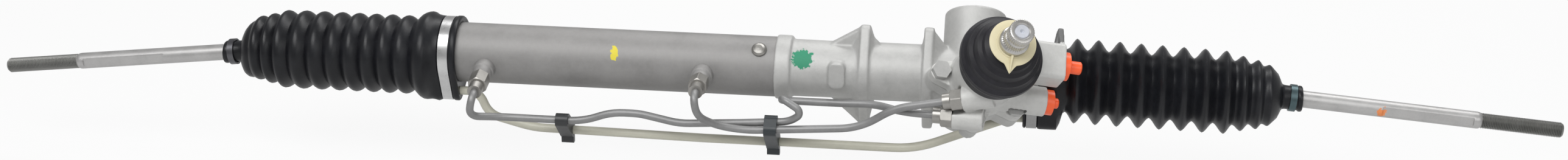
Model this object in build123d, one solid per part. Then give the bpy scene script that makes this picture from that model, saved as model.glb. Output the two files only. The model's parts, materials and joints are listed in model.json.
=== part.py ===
from build123d import *
from math import acos, cos, pi, radians, sin, sqrt, tan
import os

# Hydraulic rack-and-pinion steering gear with tie rods.
# Frame: +X along the rack towards the tie rod beside the pinion, +Z up, the pinion's
# shaft rises towards -Y.  Origin: centre of the mounting saddle, on the rack's axis.
# All lengths in millimetres, all angles in degrees.

# ---------------------------------------------------------------- driving dimensions
# clearances
press_gap = 0.02            # radial, pieces pressed or screwed together
run_gap = 0.05              # radial, shafts that turn or slide in a bore
rubber_gap = 0.3            # rubber beside a piece of another body

# rack bar and travel
rack_radius = 12.5
rack_left = -443.0
rack_right = 215.0

# steel cylinder
tube_radius = 24.0
tube_wall = 3.5
tube_left = -376.0
tube_right = -86.0
port_left_x = -328.0
port_right_x = -152.0
port_left_dip = 8.0         # angle of the port below the horizontal
port_right_dip = -1.0

# piston
piston_width = 24.0
piston_x = (port_left_x + port_right_x) / 2
piston_ring_width = 3.0

# gear mesh, measured across the teeth
module = 2.0
pinion_teeth = 7
pressure_angle = 25.0
profile_shift = 0.4
backlash = 0.12
root_clearance = 0.25
pinion_tip_radius = 9.4
rack_tip_height = 8.5       # flat of the rack's teeth, from the rack's axis
rack_tooth_gaps = 27
pinion_lean = 15.0          # shaft towards +X
pinion_rise = 43.0          # shaft above the horizontal
pinion_x = 60.0
gear_half_width = 15.0

# gear housing, along X
collar_left = -96.0
collar_right = -83.0
collar_radius = 25.6
sleeve_radius = 22.4
rack_bore_radius = 14.5
saddle_radius = 23.0
flange_left_x = -29.0       # outer faces of the two saddle flanges
flange_right_x = 29.0
flange_thickness = 8.0
flange_side_radius = 25.5
flange_tip_radius = 7.0
flange_top = 39.0
flange_bottom = 47.0
barrel_radius = 22.5
cuff_seat_left = 100.0
cuff_seat_radius = 21.6
housing_right = 131.0

# yoke tower
tower_radius = 24.5
tower_height = 51.0
yoke_radius = 16.0
yoke_foot = 2.0
yoke_height = 33.0
yoke_plug_radius = 19.0
yoke_plug_bottom = 40.0
yoke_plug_top = 50.0

# pinion shaft stack, heights along the pinion's axis
lower_end = -44.0
lower_radius = 19.0
bearing_bottom = -30.0
bearing_top = -22.0
bearing_outer_radius = 14.0
bearing_inner_radius = 6.0
neck_radius = 27.0
joint_height = 23.0         # split line of the two castings
seal_bottom = 17.5
sleeve_bottom = 27.0
sleeve_top = 66.0
valve_sleeve_radius = 17.0
valve_tower_radius = 25.5
spigot_bottom = sleeve_top + 1
upper_bearing_top = spigot_bottom + 9
input_seal_bottom = upper_bearing_top + 1
input_seal_top = input_seal_bottom + 6
snap_height = input_seal_top + 0.4
spigot_top = snap_height + 2.6
spigot_radius = 22.0
cover_top = spigot_bottom + 51.5
shaft_seat_radius = 11.0
shaft_radius = 10.3
spline_radius = 9.5
protector_bottom = cover_top + 0.7
spline_bottom = protector_bottom + 7.8
clamp_groove_bottom = spline_bottom + 7
clamp_groove_top = clamp_groove_bottom + 4
shaft_top = clamp_groove_top + 8
torsion_bar_radius = 3.0

# hose ports of the valve housing
upper_port_y = 8.0
upper_port_z = 65.0
upper_port_end = 53.5
ear_reach = 30.5            # top of the ear above the upper port
lower_port_y = -13.0
lower_port_z = 38.0
lower_port_end = 48.5
port_bore_radius = 7.0
port_bore_depth = 14.0

# tie rods
ball_left_x = rack_left - 20
ball_right_x = rack_right + 20
droop_left = 6.5
droop_right = 4.6
ball_radius = 11.0
seat_wall = 2.0
socket_radius = 16.0
rod_length = 280.0          # ball centre to tip
rod_neck_radius = 5.5
rod_radius = 6.6
rod_thread_radius = 6.0
rod_thread_length = 62.0
rod_flats_length = 70.0
rod_flats_width = 10.8

# boots
boot_wall = 2.0
small_neck_inner = 0.3      # gap between the neck of a boot and its rod
left_neck_start = 73.0      # from the ball centre, along the rod
right_neck_start = 64.5
neck_length = 16.5
band_thickness = 0.9
band_width = 8.0

# pipes
pipe_radius = 3.0
breather_radius = 3.5
breather_offset = 31.3      # breather nozzle in the cuffs, from the rack's axis
breather_angle = 23.5       # of that nozzle, from straight down towards -Y
nut_width = 14.0            # across flats, on the cylinder
valve_nut_width = 15.5      # across flats, on the valve housing
port_boss_radius = 8.5
port_boss_end = 38.0
port_nut_end = 60.0

# ball sockets and their studs
stud_radius = 7.0
stud_depth = 24.0
washer_thickness = 1.6
washer_tab_length = 5.0
washer_tab_width = 9.0
cavity_radius = ball_radius + seat_wall + 2 * run_gap
socket_back = 20.0 - washer_thickness
socket_lip = 9.5
# pieces in the cylinder
stopper_recess = 7.0        # leaves room for the ball socket at full travel
stopper_length = 19.0
inner_bush_left = -134.0
inner_bush_right = -100.0
plug_x = -108.0
plug_dip = -54.5            # above the horizontal, towards -Y
plug_radius = 6.0
# bores, bolts and webs of the housings
rack_bush_left = 108.0
rack_bush_radius = 17.0
seal_radius = 15.0
bolt_radius = 4.0
bolt_bottom = 15.0
web_half = 3.5
nut_one_corner = Vector(3, -58.5, -5)
nut_one_seat = Vector(49, -62.3, 5.8)
nut_two_corner = Vector(8, -54, -10)
nut_two_seat = Vector(41.4, -57.2, -10)
valve_nut_half = 7.0
ear_height = 10.0
bolt_head_width = 13.0
top_bore_radius = 15.0
# details of the shaft stack
nut_bottom = -38.0
pinion_stud_radius = 5.0
seal_land_radius = 8.5
pinion_head_bottom = 24.0
pinion_head_top = 34.0
torsion_head_bottom = spline_bottom - 9
torsion_head_radius = 5.4
cross_pin_height = spline_bottom + 3.5
cross_pin_radius = 1.5
cover_wall = 2.0
protector_radius = 17.8
protector_tip = 24.5
# yoke details
liner_thickness = 0.8
spring_radius = 7.5
spring_bottom = 21.0
# cuffs and folds of the boots
left_cuff_end = -352.0
left_cuff_radius = 27.8
right_cuff_start = 101.0
right_cuff_end = 128.0
right_cuff_radius = 24.6
lobe_radius = 6.9
left_band_x = -365.5
right_band_x = 103.5
left_boot_drop = 4.3        # of the left bellows below the rack's axis, towards the breather
left_bellows_start = -371.0
left_crest_radius = 32.0
left_valley_radius = 28.0
left_pitch = 14.4
left_crests = 8
right_crest_radius = 33.2
right_valley_radius = 25.4
right_pitch = 16.57
right_crests = 8
right_first_crest = 12.4
# pipe routes: corners of the straight runs
left_pipe_route = [
    (-332, -64, -27.5), (-312, -48, -34), (-246, -42, -37), (-222, -42, -28), (-200, -42, -28),
    (-168, -42.5, -34.5), (-118, -43, -31), (-80, -45, -27), (-69, -49, -17), (-86, -44, -8),
    (-88, -33, -14.5), (-40, -32, -15), (-14, -36, -12.5)]
right_pipe_route = [
    (-150, -66, -17), (-136, -53, -30), (-114, -48, -35), (-25, -53, -26)]
breather_route = [
    (-328, -19, -45.5), (-290, -26, -52), (-150, -29, -52.5), (18, -30, -52), (80, -18, -31)]
port_reach = 72.0           # from the cylinder's axis to the pipe's first bend
breather_left_bend = -337.0
breather_right_bend = 92.0
# pipe clips
clip_width = 10.0
clip_wall = 2.4
left_clip_x = -262.0
right_clip_x = -95.0

# ---------------------------------------------------------------- frames
q_dir = Vector(0, sin(radians(pinion_rise)), cos(radians(pinion_rise)))
w_dir = Vector(0, -cos(radians(pinion_rise)), sin(radians(pinion_rise)))
x_dir = Vector(1, 0, 0)
shaft_dir = x_dir * sin(radians(pinion_lean)) + w_dir * cos(radians(pinion_lean))
side_dir = x_dir * cos(radians(pinion_lean)) - w_dir * sin(radians(pinion_lean))

pitch_radius = module * pinion_teeth / 2
reference_height = pitch_radius + profile_shift * module
centre_distance = rack_tip_height + reference_height - module
pinion_centre = Vector(pinion_x, 0, 0) - q_dir * centre_distance

# in the pinion frame x runs across the teeth, y from the pinion to the rack, z up the shaft
pinion_frame = Plane(origin=pinion_centre, x_dir=side_dir, z_dir=shaft_dir)
tower_frame = Plane(origin=(pinion_x, 0, 0), x_dir=(1, 0, 0), z_dir=q_dir)
tube_inner = tube_radius - tube_wall


def in_pinion_frame(shape):
    return pinion_frame.location * shape


def turned_x(points):
    """Solid of revolution about the rack's axis from (x, radius) corners."""
    outline = [(x, 0, r) for x, r in points]
    return revolve(make_face(Polyline(*outline, close=True)), Axis.X)


def turned_z(points):
    """Solid of revolution about Z from (radius, z) corners."""
    outline = [(r, 0, z) for r, z in points]
    return revolve(make_face(Polyline(*outline, close=True)), Axis.Z)


def rod_x(radius, start, end):
    return turned_x([(start, 0), (start, radius), (end, radius), (end, 0)])


def ring_x(inner, outer, start, end):
    return turned_x([(start, inner), (start, outer), (end, outer), (end, inner)])


def rod_z(radius, start, end):
    return Pos(0, 0, (start + end) / 2) * Cylinder(radius, end - start)


def ring_z(inner, outer, start, end):
    return turned_z([(inner, start), (outer, start), (outer, end), (inner, end)])


def hexagon_z(width, start, end):
    side = RegularPolygon(width / 2, 6, major_radius=False)
    return Pos(0, 0, start) * extrude(side, end - start)


def hull_of(circles):
    """Face bounded by the tight outline round (x, y, radius) circles."""
    rounds = [Edge.make_circle(radius, Plane(origin=(x, y, 0))) for x, y, radius in circles]
    return make_hull(rounds)


def frame_along(origin, direction):
    return Plane(origin=origin, z_dir=direction)


def save(shape, name):
    shape.label = name
    export_step(shape, f"parts/{name}.step")


# ---------------------------------------------------------------- rack
def rack_cut_reach():
    """Half length of a cut along the shaft that crosses the rack at both ends of its teeth."""
    pitch = pi * module
    return rack_radius + pitch + rack_tooth_gaps * pitch / 2 * tan(radians(pinion_lean))


def tooth_gap_cutter():
    """Trapezoid gaps of the rack, side by side along the pinion frame's x."""
    pitch = pi * module
    root = reference_height + module + root_clearance
    mouth = reference_height - module - 1.0
    slope = tan(radians(pressure_angle))
    half = pitch / 4 + backlash / 2
    half_mouth = half + (reference_height - mouth) * slope
    half_root = half - (root - reference_height) * slope
    reach = rack_cut_reach()
    cutter = Sketch()
    for index in range(rack_tooth_gaps):
        middle = (index - rack_tooth_gaps // 2) * pitch
        gap = Polygon(
            (middle - half_mouth, mouth), (middle + half_mouth, mouth),
            (middle + half_root, root), (middle - half_root, root), align=None)
        cutter += gap
    return Pos(0, 0, -reach) * extrude(cutter, 2 * reach)


def make_rack_bar():
    chamfer_size = 1.0
    bar = turned_x([
        (rack_left, 0), (rack_left, rack_radius - chamfer_size),
        (rack_left + chamfer_size, rack_radius), (rack_right - chamfer_size, rack_radius),
        (rack_right, rack_radius - chamfer_size), (rack_right, 0)])
    half_zone = rack_tooth_gaps * pi * module / 2
    flat_depth = rack_radius - rack_tip_height + 2
    flat = Box(2 * half_zone, flat_depth, 2 * rack_cut_reach())
    flat = Pos(0, reference_height - module - flat_depth / 2, 0) * flat
    bar -= in_pinion_frame(flat)
    bar -= in_pinion_frame(tooth_gap_cutter())
    for end, inward in ((rack_left, 1), (rack_right, -1)):
        hole = (end - inward, end + inward * stud_depth)
        bar -= rod_x(stud_radius + press_gap, min(hole), max(hole))
        for side in (-1, 1):
            slot = Box(washer_tab_length, 4, washer_tab_width)
            bar -= Pos(end + inward * washer_tab_length / 2, side * rack_radius, 0) * slot
    return bar


def make_piston():
    half = piston_width / 2
    ring_half = piston_ring_width / 2
    outer = tube_inner - 0.3
    groove = outer - 3.0
    return turned_x([
        (piston_x - half, rack_radius + press_gap), (piston_x - half, outer - 1),
        (piston_x - half + 1, outer), (piston_x - ring_half, outer),
        (piston_x - ring_half, groove), (piston_x + ring_half, groove),
        (piston_x + ring_half, outer), (piston_x + half - 1, outer),
        (piston_x + half, outer - 1), (piston_x + half, rack_radius + press_gap)])


def make_piston_ring():
    half = piston_ring_width / 2 - press_gap
    inner = tube_inner - 3.3 + press_gap
    return ring_x(inner, tube_inner - run_gap, piston_x - half, piston_x + half)


# ---------------------------------------------------------------- ball joints, side frame
# z runs outwards along the rack from the ball's centre


def make_socket():
    """Ball socket with its stud, a rolled lip round the ball and two wrench flats."""
    lip_height = socket_lip - 1
    mouth = sqrt(cavity_radius ** 2 - lip_height ** 2)
    body = turned_z([
        (0, -socket_back), (socket_radius - 1.5, -socket_back),
        (socket_radius, -socket_back + 1.5), (socket_radius, 3),
        (socket_radius - 1.2, 6), (mouth + 1.6, socket_lip), (0, socket_lip)])
    body -= Sphere(cavity_radius)
    body -= Pos(0, 0, lip_height) * Cone(mouth, mouth + 3, 4, align=(Align.CENTER, Align.CENTER, Align.MIN))
    flats = Box(3 * socket_radius, 4 * socket_radius, 8)
    flats -= Box(2 * socket_radius - 2.5, 4 * socket_radius, 8)
    body -= Pos(0, 0, -socket_back + 9) * flats
    stud_end = -socket_back - washer_thickness - stud_depth + 1
    body += rod_z(stud_radius, stud_end, -socket_back)
    return body


def make_ball_seat():
    """Plastic cup between ball and socket, open where the rod leaves."""
    seat = Sphere(ball_radius + seat_wall + run_gap) - Sphere(ball_radius + run_gap)
    span = 15.0
    seat &= Pos(0, 0, -1.5) * Box(4 * span, 4 * span, span)
    return seat


def make_tie_rod():
    thread_start = rod_length - rod_thread_length
    flats_end = thread_start - 6
    flats_start = flats_end - rod_flats_length
    root = sqrt(ball_radius ** 2 - rod_neck_radius ** 2)
    rod = turned_z([
        (0, 0), (rod_neck_radius, 0), (rod_neck_radius, root + 4),
        (rod_radius, root + 14), (rod_radius, thread_start - 3),
        (rod_thread_radius, thread_start), (rod_thread_radius, rod_length - 1.2),
        (rod_thread_radius - 1.2, rod_length), (0, rod_length)])
    rod += Sphere(ball_radius)
    cutter = Box(4 * rod_radius, 4 * rod_radius, rod_flats_length)
    cutter -= Box(rod_flats_width, 4 * rod_radius, rod_flats_length)
    rod -= Pos(0, 0, (flats_start + flats_end) / 2) * cutter
    return rod


def make_lock_washer():
    """Claw washer: a disc with two tabs bent into the rack's slots."""
    washer = ring_z(stud_radius + press_gap, socket_radius - 2, 0, washer_thickness)
    for side in (-1, 1):
        tab = Box(1.6, washer_tab_width - 1, washer_tab_length)
        tab = Pos(side * (rack_radius - 1), 0, washer_thickness - washer_tab_length / 2) * tab
        washer += tab & rod_z(rack_radius - press_gap, -washer_tab_length, washer_thickness)
    return washer


def socket_plane(side):
    ball_x = ball_left_x if side < 0 else ball_right_x
    return Plane(origin=(ball_x, 0, 0), x_dir=(0, 1, 0), z_dir=(side, 0, 0))


def rod_plane(side):
    ball_x = ball_left_x if side < 0 else ball_right_x
    droop = radians(droop_left if side < 0 else droop_right)
    out = Vector(side * cos(droop), 0, -sin(droop))
    return Plane(origin=(ball_x, 0, 0), x_dir=(0, 1, 0), z_dir=out)


def washer_plane(side):
    end = rack_left if side < 0 else rack_right
    return Plane(origin=(end, 0, 0), x_dir=(0, 1, 0), z_dir=(side, 0, 0))


def make_small_clip(side):
    """Spring wire clip round the neck of a boot, with its two squeezed ends."""
    inner = rod_radius + small_neck_inner + boot_wall + rubber_gap
    middle = neck_start(side) + neck_length * 0.55
    clip = ring_z(inner, inner + 1.4, middle - 2.5, middle + 2.5)
    for side in (-1, 1):
        prong = Box(7, 1.6, 4)
        clip += Pos(inner + 3.6, side * 1.6, middle) * Rot(0, 0, side * 12) * prong
    return clip


# ---------------------------------------------------------------- cylinder
def make_cylinder_tube():
    tube = ring_x(tube_inner, tube_radius, tube_left, tube_right)
    for x, dip in ((port_left_x, port_left_dip), (port_right_x, port_right_dip)):
        plane = frame_along((x, 0, 0), port_direction(dip))
        tube -= plane.location * rod_z(pipe_radius, tube_inner - 3, tube_radius + 3)
    plug_hole = rod_z(plug_radius - 1.5 + press_gap, tube_inner - 3, tube_radius + 3)
    return tube - plug_plane().location * plug_hole


def port_direction(dip):
    return Vector(0, -cos(radians(dip)), -sin(radians(dip)))


def make_port_bosses():
    """Two turned bosses brazed on the cylinder, each saddled to its round."""
    bosses = []
    for x, dip in ((port_left_x, port_left_dip), (port_right_x, port_right_dip)):
        plane = frame_along((x, 0, 0), port_direction(dip))
        boss = turned_z([
            (pipe_radius, tube_radius - 3), (port_boss_radius, tube_radius - 3),
            (port_boss_radius, 30), (port_boss_radius - 1, 31), (port_boss_radius - 1, 35),
            (port_boss_radius - 2, port_boss_end), (pipe_radius, port_boss_end)])
        bosses.append(plane.location * boss - rod_x(tube_radius, x - 20, x + 20))
    return Compound(children=bosses)


def make_flare_nut(width, start, end):
    """Hexagon flare nut with a round neck, bored for its pipe."""
    neck = start + (end - start) * 0.6
    nut = hexagon_z(width, start, neck)
    nut &= turned_z([
        (0, start), (width * 0.56, start), (width * 0.56, neck - 0.8),
        (width * 0.5, neck), (0, neck)])
    nut += rod_z(width * 0.41, neck, end)
    return nut - rod_z(pipe_radius + press_gap, start - 1, end + 1)


def make_cylinder_nuts():
    nuts = []
    for x, dip in ((port_left_x, port_left_dip), (port_right_x, port_right_dip)):
        plane = frame_along((x, 0, 0), port_direction(dip))
        nuts.append(plane.location * make_flare_nut(nut_width, port_boss_end, port_nut_end))
    return Compound(children=nuts)


def make_end_stopper():
    """Bush screwed in the cylinder's open end: it guides the rack."""
    left = tube_left + stopper_recess
    right = left + stopper_length
    return turned_x([
        (left, rack_radius + run_gap), (left, tube_inner - press_gap),
        (right, tube_inner - press_gap), (right, tube_inner - 3),
        (right - 8, tube_inner - 3), (right - 8, rack_radius + run_gap)])


def make_end_seal():
    left = tube_left + stopper_recess + stopper_length - 8 + press_gap
    return ring_x(rack_radius + run_gap, tube_inner - 3 - press_gap, left, left + 7.5)


def make_inner_bush():
    """Seal holder that closes the cylinder on the pinion side."""
    return turned_x([
        (inner_bush_left, rack_radius + 3.5), (inner_bush_left, tube_inner - press_gap),
        (inner_bush_right, tube_inner - press_gap), (inner_bush_right, rack_radius + run_gap),
        (inner_bush_left + 9, rack_radius + run_gap), (inner_bush_left + 9, rack_radius + 3.5)])


def make_inner_seal():
    outer = rack_radius + 3.5 - press_gap
    return ring_x(rack_radius + run_gap, outer, inner_bush_left + 1, inner_bush_left + 9 - press_gap)


def make_dome_plug():
    """Pressed steel plug with a domed head in the cylinder wall."""
    plug = rod_z(plug_radius - 1.5, tube_inner + 0.4, tube_radius + 1)
    plug += turned_z([
        (0, tube_radius + 0.4), (plug_radius, tube_radius + 0.4), (plug_radius, tube_radius + 1.2),
        (plug_radius - 1.4, tube_radius + 2.6), (plug_radius - 3.2, tube_radius + 3.4),
        (0, tube_radius + 3.7)])
    return plug


def plug_plane():
    return frame_along((plug_x, 0, 0), port_direction(plug_dip))


# ---------------------------------------------------------------- gear housing
def flange_outline():
    """Upright plate round the rack with a pointed top and a longer bottom lug."""
    return Plane.YZ * hull_of([
        (0, 0, flange_side_radius), (0, flange_top - flange_tip_radius, flange_tip_radius),
        (0, flange_tip_radius - flange_bottom, flange_tip_radius)])


def flange_foot(face_x, length, foot_radius):
    """Drafted foot from a face of a flange down to the round it stands on."""
    wide = hull_of([
        (0, 0, flange_side_radius - 0.8), (0, flange_top - flange_tip_radius - 0.8, flange_tip_radius - 0.8),
        (0, flange_tip_radius - flange_bottom + 0.8, flange_tip_radius - 0.8)])
    narrow = hull_of([
        (0, 0, foot_radius - 0.8), (0, foot_radius - 6.3, 6), (0, 6.3 - foot_radius, 6)])
    return loft([Pos(face_x, 0, 0) * (Plane.YZ * wide), Pos(face_x + length, 0, 0) * (Plane.YZ * narrow)])


def make_gear_housing():
    saddle_left = flange_left_x + flange_thickness
    saddle_right = flange_right_x - flange_thickness
    body = turned_x([
        (collar_left, 0), (collar_left, collar_radius - 1), (collar_left + 1, collar_radius),
        (collar_right - 1, collar_radius), (collar_right, collar_radius - 1),
        (collar_right + 0.5, sleeve_radius + 0.4), (saddle_left - 10, sleeve_radius),
        (saddle_left, saddle_radius), (saddle_right, saddle_radius),
        (saddle_right + 10, barrel_radius), (cuff_seat_left, barrel_radius),
        (cuff_seat_left + 1, cuff_seat_radius), (housing_right - 4, cuff_seat_radius),
        (housing_right - 3, barrel_radius), (housing_right, barrel_radius - 0.8),
        (housing_right, 0)])

    plate = extrude(flange_outline(), flange_thickness)
    plate = fillet(plate.edges().filter_by(GeomType.CIRCLE), 1.2)
    body += Pos(flange_left_x, 0, 0) * plate
    body += Pos(saddle_right, 0, 0) * plate
    body += flange_foot(flange_left_x + 1, -9, sleeve_radius)
    body += flange_foot(saddle_left - 1, 5, saddle_radius)
    body += flange_foot(saddle_right + 1, -3, saddle_radius)
    body += flange_foot(flange_right_x - 1, 12, barrel_radius)
    body += web([(flange_left_x - 24, sleeve_radius - 3), (flange_left_x + 2, sleeve_radius - 3),
                 (flange_left_x + 2, flange_top - 2), (flange_left_x, flange_top - 2),
                 (flange_left_x - 24, sleeve_radius)])
    body += web([(flange_left_x - 24, 3 - sleeve_radius), (flange_left_x - 24, -sleeve_radius),
                 (flange_left_x, 2 - flange_bottom), (flange_left_x + 2, 2 - flange_bottom),
                 (flange_left_x + 2, 3 - sleeve_radius)])
    body += web([(saddle_left - 2, flange_top - 2), (saddle_left, flange_top - 2),
                 (saddle_left + 3, saddle_radius + 5), (saddle_left + 8, saddle_radius),
                 (saddle_left - 2, saddle_radius - 3)])

    tower = rod_z(tower_radius, 0, tower_height)
    tower = chamfer(tower.edges().sort_by(Axis.Z)[-1], 1.2)
    body += tower_frame.location * tower
    body += in_pinion_frame(turned_z([
        (0, lower_end), (lower_radius, lower_end), (lower_radius + 0.8, lower_end + 1),
        (lower_radius + 0.8, lower_end + 6), (lower_radius, lower_end + 7), (lower_radius, -8),
        (neck_radius, 8), (neck_radius, joint_height), (0, joint_height)]))
    for ear in bolt_ears(8, joint_height):
        body += in_pinion_frame(ear)
    body += side_boss()

    body -= rod_x(rack_bore_radius, collar_left - 1, housing_right + 1)
    body -= rod_x(tube_radius + press_gap, collar_left - 1, tube_right)
    body -= rod_x(rack_bush_radius, rack_bush_left, housing_right + 1)
    body -= tower_frame.location * rod_z(yoke_radius, 0, tower_height + 1)
    body -= tower_frame.location * rod_z(yoke_plug_radius, yoke_plug_bottom, tower_height + 1)
    body -= in_pinion_frame(rod_z(pinion_tip_radius + 1.2, bearing_bottom, joint_height + 1))
    body -= in_pinion_frame(rod_z(bearing_outer_radius, lower_end - 1, bearing_top))
    body -= in_pinion_frame(rod_z(seal_radius, seal_bottom, joint_height + 1))
    for x, y in bolt_places():
        body -= in_pinion_frame(Pos(x, y, 0) * rod_z(bolt_radius, bolt_bottom - 0.5, joint_height + 1))
    body -= in_pinion_frame(rod_z(neck_radius + 0.3, joint_height, joint_height + ear_height + 3))
    lug_hole = flange_bottom - flange_tip_radius - 3
    body -= Pos(flange_left_x, 0, -lug_hole) * Rot(0, 90, 0) * Cylinder(2.3, 3.0)
    return body


def web(points):
    """Upright stiffening web in the plane through the rack's axis, from (x, z) corners."""
    outline = [(x, 0, z) for x, z in points]
    face = make_face(Polyline(*outline, close=True))
    return extrude(face, web_half, both=True)


def bolt_places():
    reach = neck_radius + 6.5
    angles = (176.0, -97.0, -36.0)
    return [(reach * cos(radians(a)), reach * sin(radians(a))) for a in angles]


def bolt_ears(bottom, top):
    """Rounded ears for the bolts that hold the two castings together."""
    ears = []
    for x, y in bolt_places():
        outline = hull_of([(x, y, bolt_radius + 3.6), (x * 0.55, y * 0.55, bolt_radius + 8)])
        ears.append(Pos(0, 0, bottom) * extrude(outline, top - bottom))
    return ears


def side_boss():
    """Shallow oval boss on the front of the sleeve, beside the left flange."""
    boss = Pos(-46, -(sleeve_radius - 2), 4) * Box(13, 8, 22)
    return fillet(boss.edges().filter_by(Axis.Y), 5)


# ---------------------------------------------------------------- valve housing


def nut_plane(corner, seat):
    return frame_along(seat, (seat - corner).normalized())


def make_valve_housing():
    body = turned_z([
        (0, joint_height), (neck_radius, joint_height), (neck_radius, joint_height + ear_height),
        (valve_tower_radius, joint_height + ear_height + 3), (valve_tower_radius, spigot_bottom - 2),
        (valve_tower_radius - 1, spigot_bottom), (spigot_radius, spigot_bottom),
        (spigot_radius, spigot_top - 1), (spigot_radius - 1, spigot_top), (0, spigot_top)])
    for ear in bolt_ears(joint_height, joint_height + ear_height):
        body += ear
    block = Box(upper_port_end, 29, 25, align=(Align.MIN, Align.CENTER, Align.CENTER))
    block = fillet(block.edges().filter_by(Axis.X), 3.5)
    relief = ring_z(spigot_radius, spigot_radius + 7, spigot_bottom, spigot_top + 10)
    body += Pos(0, upper_port_y, upper_port_z) * block - relief
    boss = Rot(0, 90, 0) * rod_z(11.5, 0, lower_port_end)
    boss += Rot(0, 90, 0) * Cone(15, 11.5, 14, align=(Align.CENTER, Align.CENTER, Align.MIN))
    boss = Pos(0, lower_port_y, lower_port_z) * boss
    body += boss - rod_z(valve_sleeve_radius, 0, 90)
    body += valve_ear()
    body = in_pinion_frame(body)
    nut_planes = [nut_plane(nut_one_corner, nut_one_seat), nut_plane(nut_two_corner, nut_two_seat)]
    for plane in nut_planes:
        body += plane.location * rod_z(9.5, valve_nut_half - 1, 30)
    for plane in nut_planes:
        body -= plane.location * rod_z(10.5, -12, valve_nut_half - 1)
    body -= in_pinion_frame(rod_z(3 * neck_radius, joint_height - 40, joint_height))
    body -= in_pinion_frame(rod_z(valve_sleeve_radius + run_gap, joint_height - 1, sleeve_top + 0.5))
    body -= in_pinion_frame(rod_z(top_bore_radius, sleeve_top, spigot_top + 1))
    snap_groove = ring_z(top_bore_radius - 1, top_bore_radius + 0.9, snap_height, snap_height + 1.4)
    body -= in_pinion_frame(snap_groove)
    for y, z, end in port_places():
        bore = Pos(end, y, z) * Rot(0, -90, 0) * rod_z(port_bore_radius, -1, port_bore_depth)
        drilling = Pos(end, y, z) * Rot(0, -90, 0) * rod_z(3, 0, end - 10)
        body -= in_pinion_frame(bore)
        body -= in_pinion_frame(drilling)
    head_seat = joint_height + ear_height
    for x, y in bolt_places():
        body -= in_pinion_frame(Pos(x, y, 0) * rod_z(bolt_radius + 0.4, joint_height - 1, head_seat + 1))
        body -= in_pinion_frame(Pos(x, y, 0) * rod_z(bolt_head_width * 0.62, head_seat, head_seat + 9))
    return body


def valve_ear():
    """Tapered ear with a web at the outer end of the upper port block."""
    left = upper_port_end - 4
    base = upper_port_y + 10
    top = upper_port_y + ear_reach
    outline = hull_of([(base, upper_port_z, 8), (top - 3, upper_port_z, 3)])
    plate = Pos(left, 0, 0) * extrude(Plane.YZ * outline, 4)
    corners = [(left - 4, base, 0), (left + 1, base, 0), (left + 1, top - 2, 0), (left - 0.4, top - 2, 0)]
    web_face = make_face(Polyline(*corners, close=True))
    return plate + Pos(0, 0, upper_port_z) * extrude(web_face, 3, both=True)


def port_places():
    return ((upper_port_y, upper_port_z, upper_port_end), (lower_port_y, lower_port_z, lower_port_end))


def make_housing_bolts():
    bolts = []
    top = joint_height + ear_height
    for x, y in bolt_places():
        bolt = rod_z(bolt_radius - press_gap, bolt_bottom, top) + hexagon_z(bolt_head_width, top, top + 5.5)
        bolts.append(in_pinion_frame(Pos(x, y, 0) * bolt))
    return Compound(children=bolts)


def make_valve_nuts():
    nuts = []
    for corner, seat in ((nut_one_corner, nut_one_seat), (nut_two_corner, nut_two_seat)):
        plane = nut_plane(corner, seat)
        nut = make_flare_nut(valve_nut_width, 1.1 - valve_nut_half, 9)
        nuts.append(plane.location * Rot(180, 0, 0) * nut)
    return Compound(children=nuts)


def make_port_plug(flange_radius, flange_thickness_, stem_radius, stem_length):
    """Push-in transport plug: hollow skirt, flange and a grip stem."""
    return turned_z([
        (0, -2), (port_bore_radius - 2, -2), (port_bore_radius - 2, -9), (port_bore_radius - press_gap, -9),
        (port_bore_radius - press_gap, 0), (flange_radius, 0), (flange_radius, flange_thickness_),
        (stem_radius + 1.5, flange_thickness_), (stem_radius, flange_thickness_ + 2),
        (stem_radius, flange_thickness_ + stem_length - 0.8),
        (stem_radius - 0.8, flange_thickness_ + stem_length), (0, flange_thickness_ + stem_length)])


def port_plane(y, z, end):
    return pinion_frame.location * Pos(end, y, z) * Rot(0, 90, 0)


# ---------------------------------------------------------------- pinion and valve
def involute(angle):
    return tan(angle) - angle


def pinion_outline():
    """Tooth flanks are involutes from the base circle, with radial feet below it."""
    alpha = radians(pressure_angle)
    base_radius = pitch_radius * cos(alpha)
    root_radius = reference_height - module - root_clearance
    thickness = module * (pi / 2 + 2 * profile_shift * tan(alpha))
    half_at_pitch = thickness / (2 * pitch_radius)
    steps = 5

    def flank_point(radius, side, middle):
        angle = acos(min(1.0, base_radius / radius))
        half = half_at_pitch + involute(alpha) - involute(angle)
        turn = middle + side * half
        return (radius * sin(turn), radius * cos(turn))

    radii = [base_radius + (pinion_tip_radius - base_radius) * (i / steps) ** 1.4 for i in range(steps + 1)]
    with BuildSketch() as outline:
        with BuildLine():
            for tooth in range(pinion_teeth):
                middle = 2 * pi * tooth / pinion_teeth
                following = 2 * pi * (tooth + 1) / pinion_teeth
                rising = [flank_point(r, -1, middle) for r in radii]
                falling = [flank_point(r, 1, middle) for r in reversed(radii)]
                foot = root_radius / base_radius
                next_rise = flank_point(base_radius, -1, following)
                left_foot = (falling[-1][0] * foot, falling[-1][1] * foot)
                right_foot = (next_rise[0] * foot, next_rise[1] * foot)
                Spline(*rising)
                Line(rising[-1], falling[0])
                Spline(*falling)
                Line(falling[-1], left_foot)
                Line(left_foot, right_foot)
                Line(right_foot, next_rise)
        make_face()
    return outline.sketch


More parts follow.
